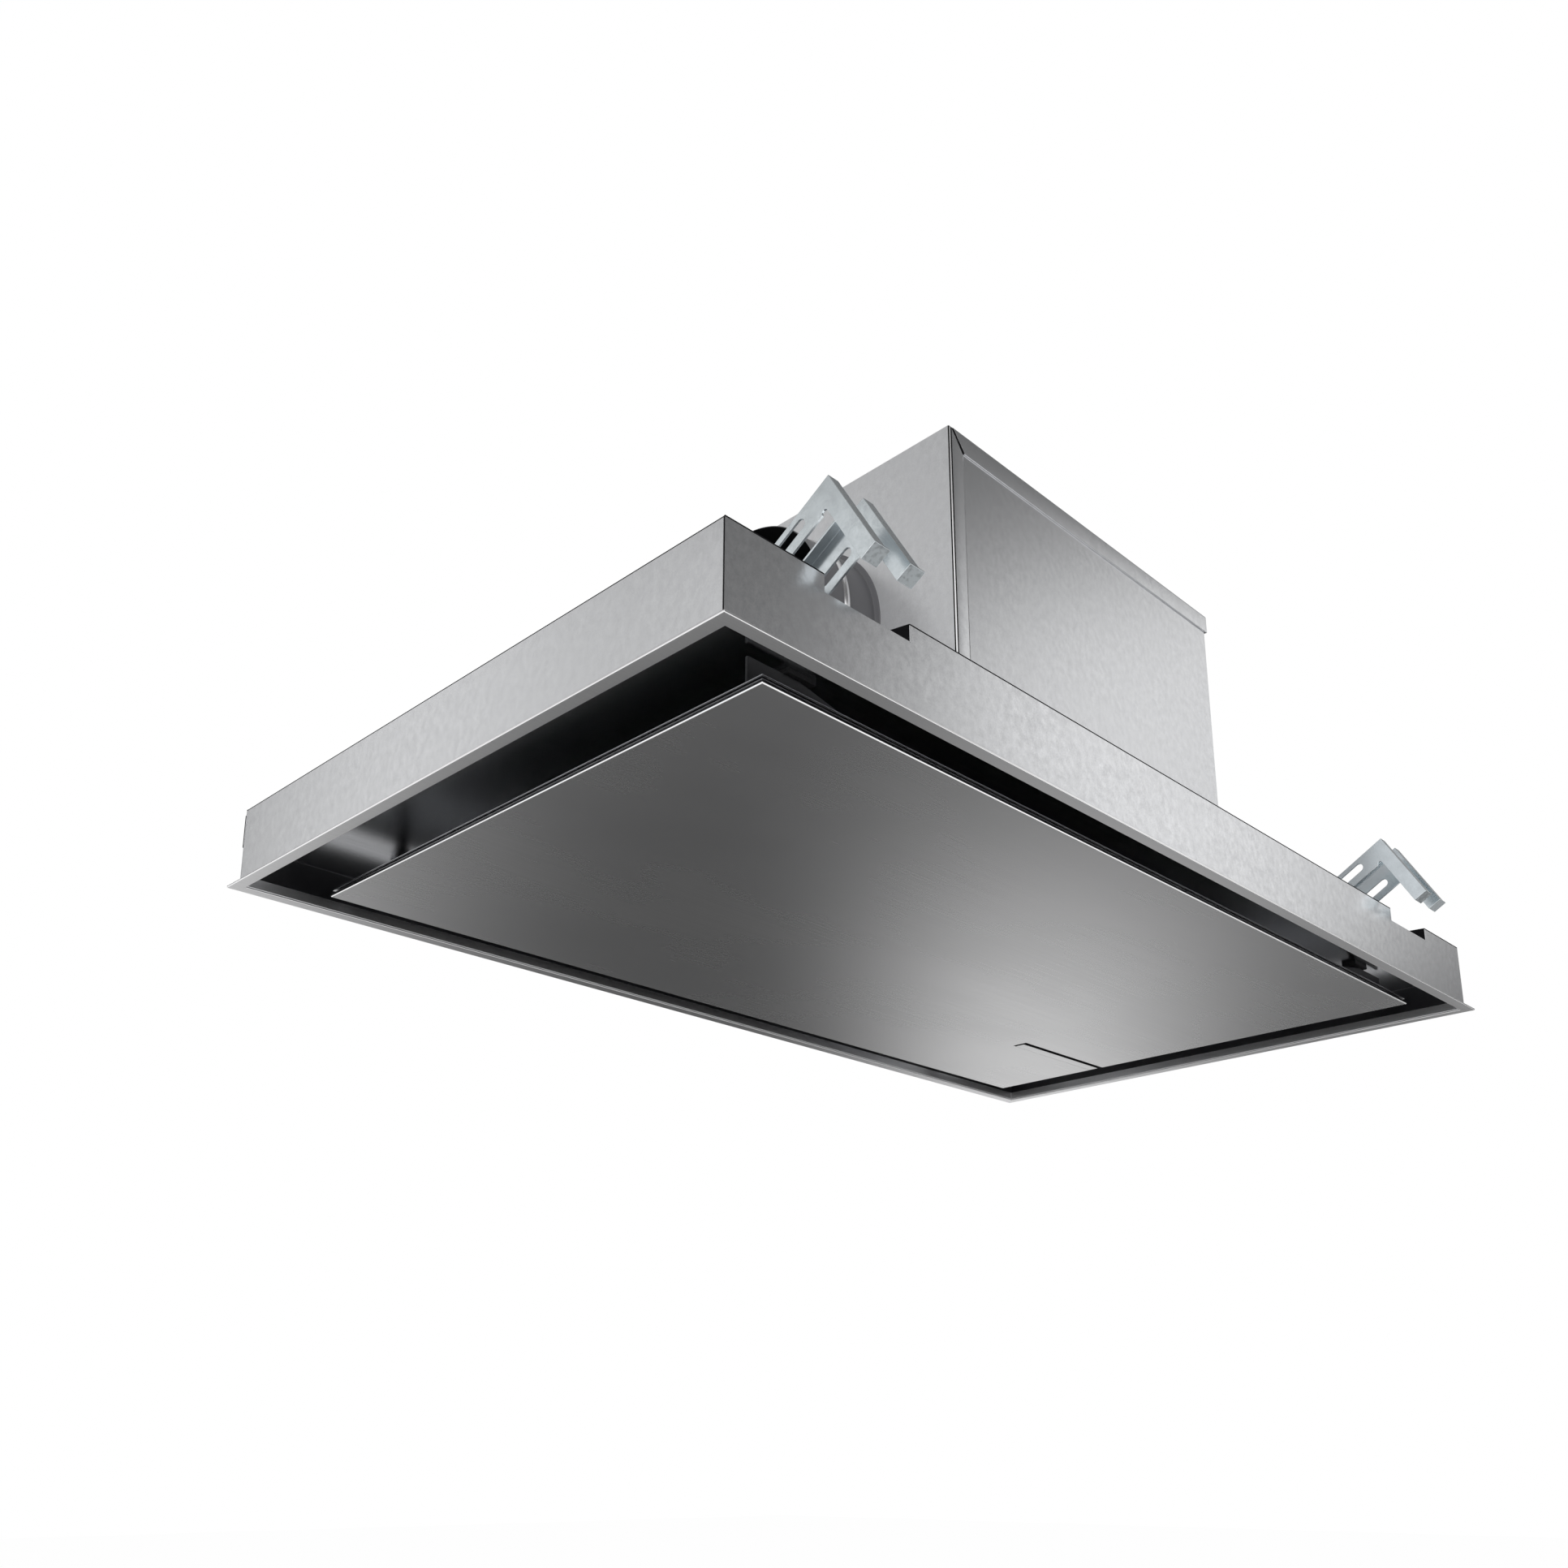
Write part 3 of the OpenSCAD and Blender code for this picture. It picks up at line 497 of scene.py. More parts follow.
def noise(tree, vector, scale, detail, roughness):
    node = add(tree, "ShaderNodeTexNoise")
    for label, value in (
        ("Vector", vector), ("Scale", scale), ("Detail", detail), ("Roughness", roughness),
    ):
        feed(tree, node.inputs[label], value)
    return node.outputs["Fac"]


def object_place(tree):
    return add(tree, "ShaderNodeTexCoord").outputs["Object"]


def stretched(tree, stretch):
    """Object coordinates, stretched along each axis."""
    node = add(tree, "ShaderNodeVectorMath", operation="MULTIPLY")
    feed(tree, node.inputs[0], object_place(tree))
    feed(tree, node.inputs[1], stretch)
    return node.outputs[0]


def blend_colour(tree, factor, first, second):
    node = add(tree, "ShaderNodeMix", data_type="RGBA")
    feed(tree, node.inputs["Factor"], factor)
    shades = [socket for socket in node.inputs if socket.type == "RGBA"]
    for socket, value in zip(shades, (first, second)):
        feed(tree, socket, value)
    return next(socket for socket in node.outputs if socket.type == "RGBA")


def remap(tree, value, *limits):
    """Maps a value from a low and a high limit to a new low and high limit."""
    node = add(tree, "ShaderNodeMapRange", clamp=True)
    feed(tree, node.inputs["Value"], value)
    for label, limit in zip(("From Min", "From Max", "To Min", "To Max"), limits):
        feed(tree, node.inputs[label], limit)
    return node.outputs["Result"]


def rgba(values, share=1.0):
    return (values[0] * share, values[1] * share, values[2] * share, 1.0)


# Patterns: each takes a group's inputs and gives its colour, roughness and height


def zinc_pattern(tree, given):
    """Cloudy zinc, with specks in the clouds and calmer patches between them."""
    where, scale = stretched(tree, given["Stretch"]), given["Cloud scale"]
    cloud = noise(tree, where, scale, 5.0, 0.6)
    speck = noise(tree, where, math_node(tree, "MULTIPLY", scale, 6.0), 3.0, 0.6)
    patch = noise(tree, where, math_node(tree, "MULTIPLY", scale, 0.12), 2.0, 0.5)
    both = weighted(tree, cloud, 0.6, speck, 0.4)
    depth = remap(tree, patch, 0.35, 0.6, 0.5, 1.0)
    swing = math_node(tree, "SUBTRACT", remap(tree, both, 0.36, 0.64, 0.0, 1.0), 0.5)
    mask = math_node(tree, "ADD", math_node(tree, "MULTIPLY", swing, depth), 0.5)
    shade = blend_colour(tree, mask, given["Dark"], given["Light"])
    rough = remap(tree, both, 0.35, 0.65, given["Rough high"], given["Rough low"])
    return shade, rough, math_node(tree, "MULTIPLY", both, depth)


def brush_pattern(tree, given):
    """Long fine lines, as a belt leaves them on stainless steel."""
    where, metal = stretched(tree, given["Stretch"]), given["Metal"]
    lines = noise(tree, where, 1.0, 2.0, 0.5)
    broad = noise(tree, where, 0.12, 3.0, 0.6)
    mixed = weighted(tree, lines, 0.8, broad, 0.2)
    dark = add(tree, "ShaderNodeVectorMath", operation="SCALE")
    feed(tree, dark.inputs[0], metal)
    feed(tree, dark.inputs["Scale"], math_node(tree, "SUBTRACT", 1.0, given["Line depth"]))
    mask = remap(tree, mixed, 0.35, 0.65, 0.0, 1.0)
    shade = blend_colour(tree, mask, dark.outputs[0], metal)
    smear = noise(tree, stretched(tree, (5.0, 9.0, 9.0)), 1.0, 3.0, 0.5)
    rough = math_node(
        tree, "ADD", given["Roughness"], remap(tree, smear, 0.35, 0.65, -0.01, 0.012)
    )
    rough = math_node(tree, "ADD", rough, remap(tree, mixed, 0.3, 0.7, 0.004, -0.004))
    return shade, rough, mixed


def grain_pattern(tree, given):
    """Moulded or painted grain with a little dust in it."""
    where = stretched(tree, (1.0, 1.0, 1.0))
    grain = noise(tree, where, given["Grain scale"], 2.0, 0.5)
    broad = noise(tree, where, 14.0, 4.0, 0.6)
    dust = math_node(tree, "MULTIPLY", grain, math_node(tree, "MULTIPLY", broad, 2.0))
    dust = remap(tree, dust, 0.45, 0.8, 0.0, 0.7)
    shade = blend_colour(tree, dust, given["Base"], given["Dust"])
    rough = math_node(
        tree, "ADD", given["Roughness"], remap(tree, broad, 0.3, 0.7, -0.05, 0.07)
    )
    return shade, rough, grain


COLOUR, NUMBER, VECTOR = "NodeSocketColor", "NodeSocketFloat", "NodeSocketVector"
PATTERNS = {
    "zinc_clouds": (zinc_pattern, {
        "Light": COLOUR, "Dark": COLOUR, "Cloud scale": NUMBER, "Stretch": VECTOR,
        "Rough low": NUMBER, "Rough high": NUMBER,
    }),
    "brush_lines": (brush_pattern, {
        "Metal": COLOUR, "Line depth": NUMBER, "Stretch": VECTOR, "Roughness": NUMBER,
    }),
    "fine_grain": (grain_pattern, {
        "Base": COLOUR, "Dust": COLOUR, "Grain scale": NUMBER, "Roughness": NUMBER,
    }),
}
# What each output of a pattern feeds, in the order in which the patterns give them
PATTERN_OUTPUTS = {"Colour": COLOUR, "Roughness": NUMBER, "Height": NUMBER}


def build_pattern(name, pattern, inputs):
    """A node group that holds one pattern."""
    tree = bpy.data.node_groups.new(name, "ShaderNodeTree")
    for way, sockets in (("INPUT", inputs), ("OUTPUT", PATTERN_OUTPUTS)):
        for label, kind in sockets.items():
            tree.interface.new_socket(name=label, in_out=way, socket_type=kind)
    entry, leave = add(tree, "NodeGroupInput"), add(tree, "NodeGroupOutput")
    for socket, value in zip(leave.inputs, pattern(tree, entry.outputs)):
        feed(tree, socket, value)


def new_material(name, group, values, metallic, bump, relief=0.05 * MM, specular=0.5):
    """One finish: a pattern group that feeds the shader's colour, roughness and bump."""
    material = bpy.data.materials.new(name)
    material.use_nodes = True
    tree = material.node_tree
    shader = tree.nodes["Principled BSDF"]
    pattern = add(tree, "ShaderNodeGroup", node_tree=bpy.data.node_groups[group])
    for label, value in zip(PATTERNS[group][1], values):
        pattern.inputs[label].default_value = value
    raised = add(tree, "ShaderNodeBump")
    for node, label, value in (
        (raised, "Strength", bump), (raised, "Distance", relief),
        (raised, "Height", pattern.outputs["Height"]),
        (shader, "Base Color", pattern.outputs["Colour"]),
        (shader, "Roughness", pattern.outputs["Roughness"]),
        (shader, "Normal", raised.outputs["Normal"]),
        (shader, "Metallic", metallic), (shader, "Specular IOR Level", specular),
    ):
        feed(tree, node.inputs[label], value)


def build_finishes():
    for name, (pattern, inputs) in PATTERNS.items():
        build_pattern(name, pattern, inputs)
    sizes = bpy.context.scene.hood_sizes
    tones = bpy.context.scene.hood_colours
    cloud, line = 1.0 / sizes.zinc_cloud, 1.0 / sizes.brush_pitch
    light, dark = rgba(tones.zinc_light), rgba(tones.zinc_dark)
    wall_light, wall_dark = rgba(tones.zinc_light, 1.05), rgba(tones.zinc_dark, 0.95)
    plated, plated_dark = rgba(tones.plating), rgba(tones.plating, 0.9)
    # Name, light, dark, cloud scale, stretch, lowest and highest roughness; metallic, bump
    for name, *values, metallic, bump in (
        ("galvanised_wall", wall_light, wall_dark, cloud, (1.0, 1.0, 0.9), 0.19, 0.22, 1.0, 0.03),
        ("galvanised_upright", light, dark, cloud, (1.0, 1.0, 0.8), 0.22, 0.24, 1.0, 0.025),
        ("galvanised_dull", light, dark, cloud, (1.0, 1.0, 0.8), 0.32, 0.37, 0.55, 0.04),
        ("galvanised_flat", light, dark, cloud, (0.8, 1.0, 1.0), 0.22, 0.24, 1.0, 0.025),
        ("blue_zinc", plated, plated_dark, 110.0, (1.0, 1.0, 1.0), 0.2, 0.27, 1.0, 0.06),
    ):
        new_material(name, "zinc_clouds", values, metallic, bump)
    # Name, tone and its share, line depth, stretch, roughness; bump
    for name, tone, share, *values, bump in (
        ("brushed_lengthwise", tones.stainless, 1.0, 0.05, (4.0, line, line), 0.27, 0.0015),
        ("brushed_flange", tones.stainless, 1.25, 0.05, (4.0, line, line), 0.3, 0.004),
        # bright_edge is a near-white metal that paints glints on edges and bends
        ("bright_edge", tones.bright, 1.0, 0.05, (60.0, 60.0, 60.0), 0.16, 0.01),
        ("polished_deck", tones.deck, 1.0, 0.08, (9.0, line, line), 0.2, 0.03),
        ("filter_aluminium", tones.aluminium, 1.0, 0.1, (line * 0.7, 12.0, line * 0.7), 0.34, 0.1),
        ("spring_steel", tones.stainless, 1.05, 0.15, (60.0, 60.0, line), 0.24, 0.06),
    ):
        new_material(name, "brush_lines", [rgba(tone, share)] + values, 1.0, bump)
    # Name, tone, its shares in the base and in the dust, grain scale, roughness; metallic,
    # bump, and for some the bump's relief and the specular level
    for name, tone, base, dust, scale, roughness, *shader_values in (
        ("black_paint", tones.black, 1.0, 2.5, 1400.0, 0.33, 0.0, 0.08),
        # Black with little gloss: it paints shade into seams, grooves, the walls' upper rim, the
        # wall tabs and the collar's bore, and also colours the rear corner plate
        ("matt_black", tones.black, 0.5, 1.0, 1400.0, 0.7, 0.0, 0.08, 0.05 * MM, 0.1),
        ("dark_plastic", tones.plastic, 1.0, 2.0, 1100.0, 0.52, 0.0, 0.2),
        ("collar_plastic", tones.collar, 1.0, 1.5, 900.0, 0.24, 0.9, 0.04),
        ("flap_plastic", tones.plastic, 0.5, 1.0, 1100.0, 0.6, 0.0, 0.2),
        ("knurled_pad", tones.plating, 0.62, 0.25, 420.0, 0.6, 0.6, 0.9, 0.3 * MM),
        ("black_rubber", tones.plastic, 0.6, 1.8, 700.0, 0.75, 0.0, 0.25),
    ):
        values = (rgba(tone, base), rgba(tone, dust), scale, roughness)
        new_material(name, "fine_grain", values, *shader_values)


# Pieces


class HOOD_OT_flange(bpy.types.Operator):
    """Build the ceiling flange and the skirt inside it"""

    bl_idname = "hood.flange"
    bl_label = "Flange and skirt"

    def execute(self, context):
        lip = context.scene.hood_sizes.lip_rim
        low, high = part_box("ceiling_flange")
        flange = start_sheet("flange_frame", low, (high.x, high.y, low.z))
        pick(flange, lambda c: True, "FACE")
        bpy.ops.mesh.inset(thickness=lip, depth=0)
        delete_faces(flange, lambda c: not in_border(c, high, lip - TINY))
        thicken(flange, high.z - low.z, 1)
        outward(flange)
        round_edges(flange, 0.45 * MM, 3)
        finish_piece(flange, "housing", "brushed_flange", "ceiling_flange")
        # Painted highlight along the flange's outer edge faces
        second_finish(
            flange, "bright_edge", lambda c, n: abs(n.z) < 0.9 and in_border(c, high, 0.6 * MM)
        )
        skirt = shape_of("inner_skirt", "skirt_lining")
        band = 8.5 * MM
        slice_at(skirt, 2, band)
        round_edges(skirt, 0.5 * MM)
        finish_piece(skirt, "housing", "black_paint", "inner_skirt")
        second_finish(skirt, "brushed_flange", lambda c, n: c.z < band)
        return {"FINISHED"}


def painted_shade_rim(wall, top):
    """Painted shade: a black line just below a wall's upper edge."""
    second_finish(wall, "matt_black", lambda c, n: c.z > top - PAINTED_SHADE_RIM and n.z < 0.95)


def long_wall(name, node):
    """A long side: a sheet with two notches, each with a tab bent in at one end."""
    low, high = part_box("front_wall")
    face_y, notch_z = low.y, high.z - 11 * MM
    notch_half, middles = 34 * MM, (-340 * MM, 340 * MM)
    sheet, tab = 1.0 * MM, (-5.0 * MM, 23.4 * MM, 0)
    bend = bpy.context.scene.hood_sizes.fold_radius * 0.3
    ends = [middle + notch_half for middle in middles]

    def at_tab(c):
        return c.z > notch_z - TINY and any(near(c.x, end) for end in ends)

    wall = start_sheet(name, (low.x, face_y, low.z), (high.x, face_y, high.z))
    slice_at(wall, 2, notch_z)
    for middle in middles:
        for side in (-1, 1):
            slice_at(wall, 0, middle + side * notch_half)
    for middle in middles:
        delete_faces(
            wall, lambda c: abs(c.x - middle) < notch_half + TINY and c.z > notch_z - TINY
        )
    pull_edges(wall, at_tab, tab)
    bevel_edges(wall, lambda c: at_tab(c) and near(c.y, face_y), bend)
    thicken_behind(wall, sheet, (0, -1, 0))
    slice_at(wall, 2, high.z - PAINTED_SHADE_RIM)
    round_edges(wall)
    finish_piece(wall, "housing", "galvanised_wall", node)
    painted_shade_rim(wall, high.z)
    # Painted shade: the tabs' faces that look along -X are black, for the shade inside the notches
    second_finish(wall, "matt_black", lambda c, n: c.y > face_y + 0.3 * MM and n.x < -0.5)
    if node == "rear_wall":
        place(wall, Matrix.Rotation(HALF_TURN, 4, "Z"))


class HOOD_OT_walls(bpy.types.Operator):
    """Build the four walls of the housing"""

    bl_idname = "hood.walls"
    bl_label = "Housing walls"

    def execute(self, context):
        long_wall("front_side", "front_wall")
        long_wall("rear_side", "rear_wall")
        for side in ("left", "right"):
            low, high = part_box(side + "_wall")
            wall = start_block(side + "_side", low, high)
            slice_at(wall, 2, high.z - PAINTED_SHADE_RIM)
            round_edges(wall)
            finish_piece(
                wall, "housing", "galvanised_upright", side + "_wall"
            )
            painted_shade_rim(wall, high.z)
        block_piece(
            "corner_plate", "corner_strip", "housing", "matt_black", 0.3 * MM
        )
        return {"FINISHED"}


class HOOD_OT_tray(bpy.types.Operator):
    """Build the deck and the plenum on it"""

    bl_idname = "hood.tray"
    bl_label = "Deck and plenum"

    def execute(self, context):
        fold = context.scene.hood_sizes.fold_radius
        deck = shape_of("deck_plate", "deck_sheet")
        low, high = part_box("deck_plate")
        border = 3.5 * MM
        for side in (-1, 1):
            slice_at(deck, 0, side * (high.x - border))
            slice_at(deck, 1, side * (high.y - border))
        round_edges(deck)
        finish_piece(deck, "housing", "polished_deck", "deck_plate")
        # Painted highlight on the deck's lower border
        second_finish(
            deck, "bright_edge",
            lambda c, n: n.z < -0.9 and c.z < low.z + TINY and in_border(c, high, border),
        )
        plenum = shape_of("intake_plenum", "plenum_tray")
        low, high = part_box("intake_plenum")
        bevel_edges(
            plenum,
            lambda c: near(c.z, high.z) and (on_side(c, low, high, 0) or on_side(c, low, high, 1)),
            fold,
        )
        bevel_edges(plenum, lambda c: on_column(c, low, high), fold)
        round_edges(plenum, 0.2 * MM, 2, 40)
        finish_piece(plenum, "housing", "galvanised_flat", "intake_plenum")
        return {"FINISHED"}


class HOOD_OT_motor_box(bpy.types.Operator):
    """Build the folded sheets of the motor box"""

    bl_idname = "hood.motor_box"
    bl_label = "Motor box"

    def execute(self, context):
        radius = context.scene.hood_sizes.fold_radius
        sheet, gap, taper = 1.2 * MM, 1.5 * MM, 2.6 * MM
        low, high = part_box("box_left_sheet")
        lid_low, lid_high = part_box("box_lid")
        fold, drop = high.x - low.x, lid_high.z - lid_low.z

        left = start_sheet("left_sheet", low, (low.x, high.y, high.z))
        for side_y in (low.y, high.y):
            pull_edges(left, lambda c: near(c.y, side_y) and near(c.x, low.x), (fold, 0, 0))
        move_corners(
            left, lambda c: near(c.x, high.x) and near(c.z, high.z), (0, 0, -drop - gap)
        )
        bevel_edges(left, lambda c: near(c.x, low.x) and on_side(c, low, high, 1), radius)
        thicken_behind(left, sheet, (-1, 0, 0))
        for side_y in (low.y, high.y):
            move_corners(
                left, lambda c: c.x > high.x - 0.1 * MM and near(c.y, side_y), (-taper, 0, 0)
            )
        collar_low, collar_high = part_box("duct_collar")
        middle = (collar_low + collar_high) / 2
        cut(left, start_cylinder(
            "bore", COLLAR_BORE, 8 * MM, (low.x, middle.y, middle.z), "X", 128
        ))
        round_edges(left, 0.45 * MM)
        finish_piece(left, "housing", "galvanised_dull", "box_left_sheet")
        # The returns, the bends and the seams are told apart by how their faces lean: the bends
        # and the returns' sloped ends get a painted highlight, the bends' outer strips and the
        # seams painted shade
        second_finish(left, "galvanised_upright", lambda c, n: abs(n.y) > 0.8)
        second_finish(
            left, "bright_edge",
            lambda c, n: 0.8 >= abs(n.y) > 0.3 or n.x > 0.2 and 0.95 > abs(n.y) > 0.3,
        )
        second_finish(
            left, "matt_black",
            lambda c, n: (n.x < 0 and 0.3 > abs(n.y) > 0.1)
            or (n.x < -0.1 and 0.99 > abs(n.y) > 0.9)
            or (n.x * n.z > 0.12 and c.z > high.z - drop - fold),
        )

        lid_x = low.x + sheet + gap
        lid = start_sheet("lid_sheet", (lid_x, lid_low.y, lid_high.z), lid_high)
        for edge in (
            lambda c: near(c.y, lid_low.y), lambda c: near(c.y, lid_high.y),
            lambda c: near(c.x, lid_high.x),
        ):
            pull_edges(lid, lambda c: edge(c) and near(c.z, lid_high.z), (0, 0, -drop))
        move_corners(
            lid, lambda c: near(c.x, lid_x) and near(c.z, lid_low.z), (fold - sheet - gap, 0, 0)
        )
        bevel_edges(
            lid,
            lambda c: near(c.z, lid_high.z)
            and (on_side(c, lid_low, lid_high, 1) or near(c.x, lid_high.x)),
            radius,
        )
        thicken_behind(lid, sheet, (0, 0, 1))
        round_edges(lid, 0.35 * MM)
        finish_piece(lid, "housing", "galvanised_upright", "box_lid")
        # Painted shade along the lid's mitre seam
        second_finish(lid, "matt_black", lambda c, n: n.x * n.z > 0.12 and c.x < low.x + fold)

        for side in ("front", "rear", "right"):
            block_piece(
                "box_" + side + "_sheet", side + "_sheet", "housing",
                "galvanised_upright", 0.2 * MM,
            )
        return {"FINISHED"}


def flap_leaf(side, way, centre, axis_x):
    """One of the two flaps, with its three ribs."""
    node, name = side + "_flap", side + "_leaf"
    flap_r, rib_start, rib_half, rib_from, rib_to = 70 * MM, 9 * MM, 0.7 * MM, 2.4 * MM, 0.4 * MM
    leaf = shape_of(node, name)
    round_edges(leaf, 0.2 * MM, 1, 45)
    parts = [leaf]
    for step, reach in ((-0.55, 0.62), (0.0, 0.86), (0.55, 0.62)):
        z = centre.z + step * flap_r
        near_y, far_y = sorted((centre.y + way * rib_start, centre.y + way * flap_r * reach))
        rib = start_block(
            name + "_rib", (axis_x - rib_from, near_y, z - rib_half),
            (axis_x - rib_to, far_y, z + rib_half),
        )
        round_edges(rib, 0.25 * MM)
        parts.append(rib)
    leaf = join(name, parts, 35)
    finish_piece(leaf, "flap_" + side, "flap_plastic", node)


class HOOD_OT_duct(bpy.types.Operator):
    """Build the duct collar with its bead, and the two flaps in it"""

    bl_idname = "hood.duct"
    bl_label = "Duct collar and flaps"

    def execute(self, context):
        low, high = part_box("duct_collar")
        middle, reach, foot = (low + high) / 2, high.x - low.x, (high.z - low.z) / 2
        outer, inner = COLLAR_OUTER, COLLAR_BORE
        bead_at, bead_half, bead_h, bead_steps = 30 * MM, 4 * MM, 2 * MM, 8
        bead = [
            (outer + bead_h * math.sin(HALF_TURN * i / bead_steps),
             bead_at - bead_half + 2 * bead_half * i / bead_steps)
            for i in range(bead_steps + 1)
        ]
        profile = (
            [(foot, 0.0), (foot, 0.8 * MM), (foot - 0.4 * MM, 1.1 * MM)]
            + [(outer + 1.4 * MM, 1.3 * MM), (outer + 0.4 * MM, 1.8 * MM), (outer, 3.0 * MM)]
            + bead
            + [(outer, reach - 0.5 * MM), (outer - 0.3 * MM, reach)]
            + [(inner + 0.3 * MM, reach), (inner, reach - 0.5 * MM), (inner, 0.0)]
        )
        collar = lathe("collar_tube", profile, 144)
        place(collar, at((high.x, middle.y, middle.z), -QUARTER))
        smooth(collar)
        finish_piece(collar, "housing", "collar_plastic", "duct_collar")

        def away(c):
            return math.hypot(c.y - middle.y, c.z - middle.z)

        # Painted shade: the bore is black for the dark inside of the duct
        second_finish(collar, "matt_black", lambda c, n: away(c) < inner + 0.2 * MM)
        # Painted highlight along the bead's crest
        second_finish(
            collar, "bright_edge",
            lambda c, n: abs(c.x - high.x + bead_at) < bead_half
            and away(c) > outer + bead_h * 0.3,
        )
        rod_low, rod_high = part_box("flap_rod")
        for side, way in (("front", -1), ("rear", 1)):
            flap_leaf(side, way, middle, (rod_low.x + rod_high.x) / 2)
        return {"FINISHED"}


class HOOD_OT_control(bpy.types.Operator):
    """Build the control box, its cover and its cable gland"""

    bl_idname = "hood.control"
    bl_label = "Control box"

    def execute(self, context):
        corner, edge = 2.5 * MM, 0.3 * MM
        low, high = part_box("control_box")
        shell = shape_of("control_box", "control_shell")
        bevel_edges(shell, lambda c: on_column(c, low, high), corner, 4)
        round_edges(shell, edge)
        parts = [shell]
        for share in (0.2, 0.35, 0.5, 0.65, 0.8):
            x = low.x + (high.x - low.x) * share
            rib = start_block(
                "vent_rib", (x - 1.2 * MM, low.y - 0.8 * MM, low.z + 5 * MM),
                (x + 1.2 * MM, low.y + 0.3 * MM, high.z - 4 * MM),
            )
            round_edges(rib, 0.35 * MM)
            parts.append(rib)
        shell = join("control_shell", parts, 35)
        finish_piece(shell, "housing", "dark_plastic", "control_box")

        low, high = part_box("control_cover")
        cover = start_block("control_lid", low, high)
        bevel_edges(cover, lambda c: on_column(c, low, high), corner, 4)
        pick(cover, lambda c: near(c.z, high.z), "FACE")
        bpy.ops.mesh.inset(thickness=12 * MM, depth=0)
        bpy.ops.mesh.inset(thickness=0.6 * MM, depth=-0.6 * MM)
        object_mode()
        round_edges(cover, edge)
        finish_piece(cover, "housing", "dark_plastic", "control_cover")

        low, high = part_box("cable_gland")
        middle = (low + high) / 2
        long, nut_r, bore = high.x - low.x, (high.z - low.z) / 2, 4 * MM
        nut_l, cap_l = long * 0.45, long * 0.55
        nut = start_cylinder(
            "gland_nut", nut_r, nut_l, (low.x + nut_l / 2, middle.y, middle.z), "X", 6
        )
        cut(nut, start_cylinder("bore", bore, 60 * MM, middle, "X", 32))
        round_edges(nut, 0.5 * MM)
        profile = [
            (bore, 0.0), (nut_r * 0.78, 0.0), (nut_r * 0.78, cap_l * 0.5),
            (nut_r * 0.7, cap_l * 0.8), (nut_r * 0.58, cap_l), (bore, cap_l),
        ]
        cap = lathe("gland_cap", profile, 36)
        place(cap, at((high.x - cap_l, middle.y, middle.z), QUARTER))
        gland = join("gland", [nut, cap], 35)
        finish_piece(gland, "housing", "dark_plastic", "cable_gland")
        return {"FINISHED"}


class HOOD_OT_panel(bpy.types.Operator):
    """Build the layered cover panel and its strip"""

    bl_idname = "hood.panel"
    bl_label = "Cover panel"

    def execute(self, context):
        groove, edge, over = 1.3 * MM, 1.5 * MM, 4 * MM
        # How far the strip stays inside its solid, so that its groove shows
        inset = Vector((2.1 * MM, 3.6 * MM, 0))
        low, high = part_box("panel_face")
        strip_low, strip_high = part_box("panel_strip")
        face = start_block("panel_sheet", low, high)
        cut(face, start_block(
            "pocket", (strip_low.x - groove, strip_low.y - groove, low.z - over),
            (high.x + over, strip_high.y + 0.05 * MM, strip_high.z),
        ))
        bevel_edges(
            face,
            lambda c: near(c.z, low.z) and (near(abs(c.x), high.x) or near(abs(c.y), high.y)),
            context.scene.hood_sizes.panel_bevel,
        )
        round_edges(face, 0.2 * MM, 2, 50)
        finish_piece(
            face, "cover_panel", "brushed_lengthwise", "panel_face"
        )
        # Painted highlight along the panel's edges
        second_finish(
            face, "bright_edge", lambda c, n: abs(n.z) < 0.96 and in_border(c, high, edge)
        )
        # Painted shade in the groove round the strip
        second_finish(
            face, "matt_black",
            lambda c, n: strip_low.x - 1.1 * groove < c.x < high.x - edge
            and strip_low.y - 1.1 * groove < c.y < strip_high.y + 0.1 * MM
            and low.z + 0.25 * MM < c.z < strip_high.z + 0.1 * MM,
        )
        strip = start_block("panel_inlay", strip_low + inset, strip_high)
        round_edges(strip, 0.25 * MM)
        finish_piece(
            strip, "cover_panel", "brushed_lengthwise", "panel_strip"
        )
        # Painted shade on the strip's sides
        second_finish(strip, "matt_black", lambda c, n: abs(n.z) < 0.9)
        block_piece(
            "panel_core", "panel_filling", "cover_panel", "black_rubber", 0.3 * MM
        )
        low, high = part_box("panel_backing")
        backing = start_block("panel_back", low, high)
        bevel_edges(backing, lambda c: near(c.z, high.z), 0.5 * MM)
        round_edges(backing, 0.2 * MM, 2, 50)
        finish_piece(
            backing, "cover_panel", "galvanised_flat", "panel_backing"
        )
        return {"FINISHED"}


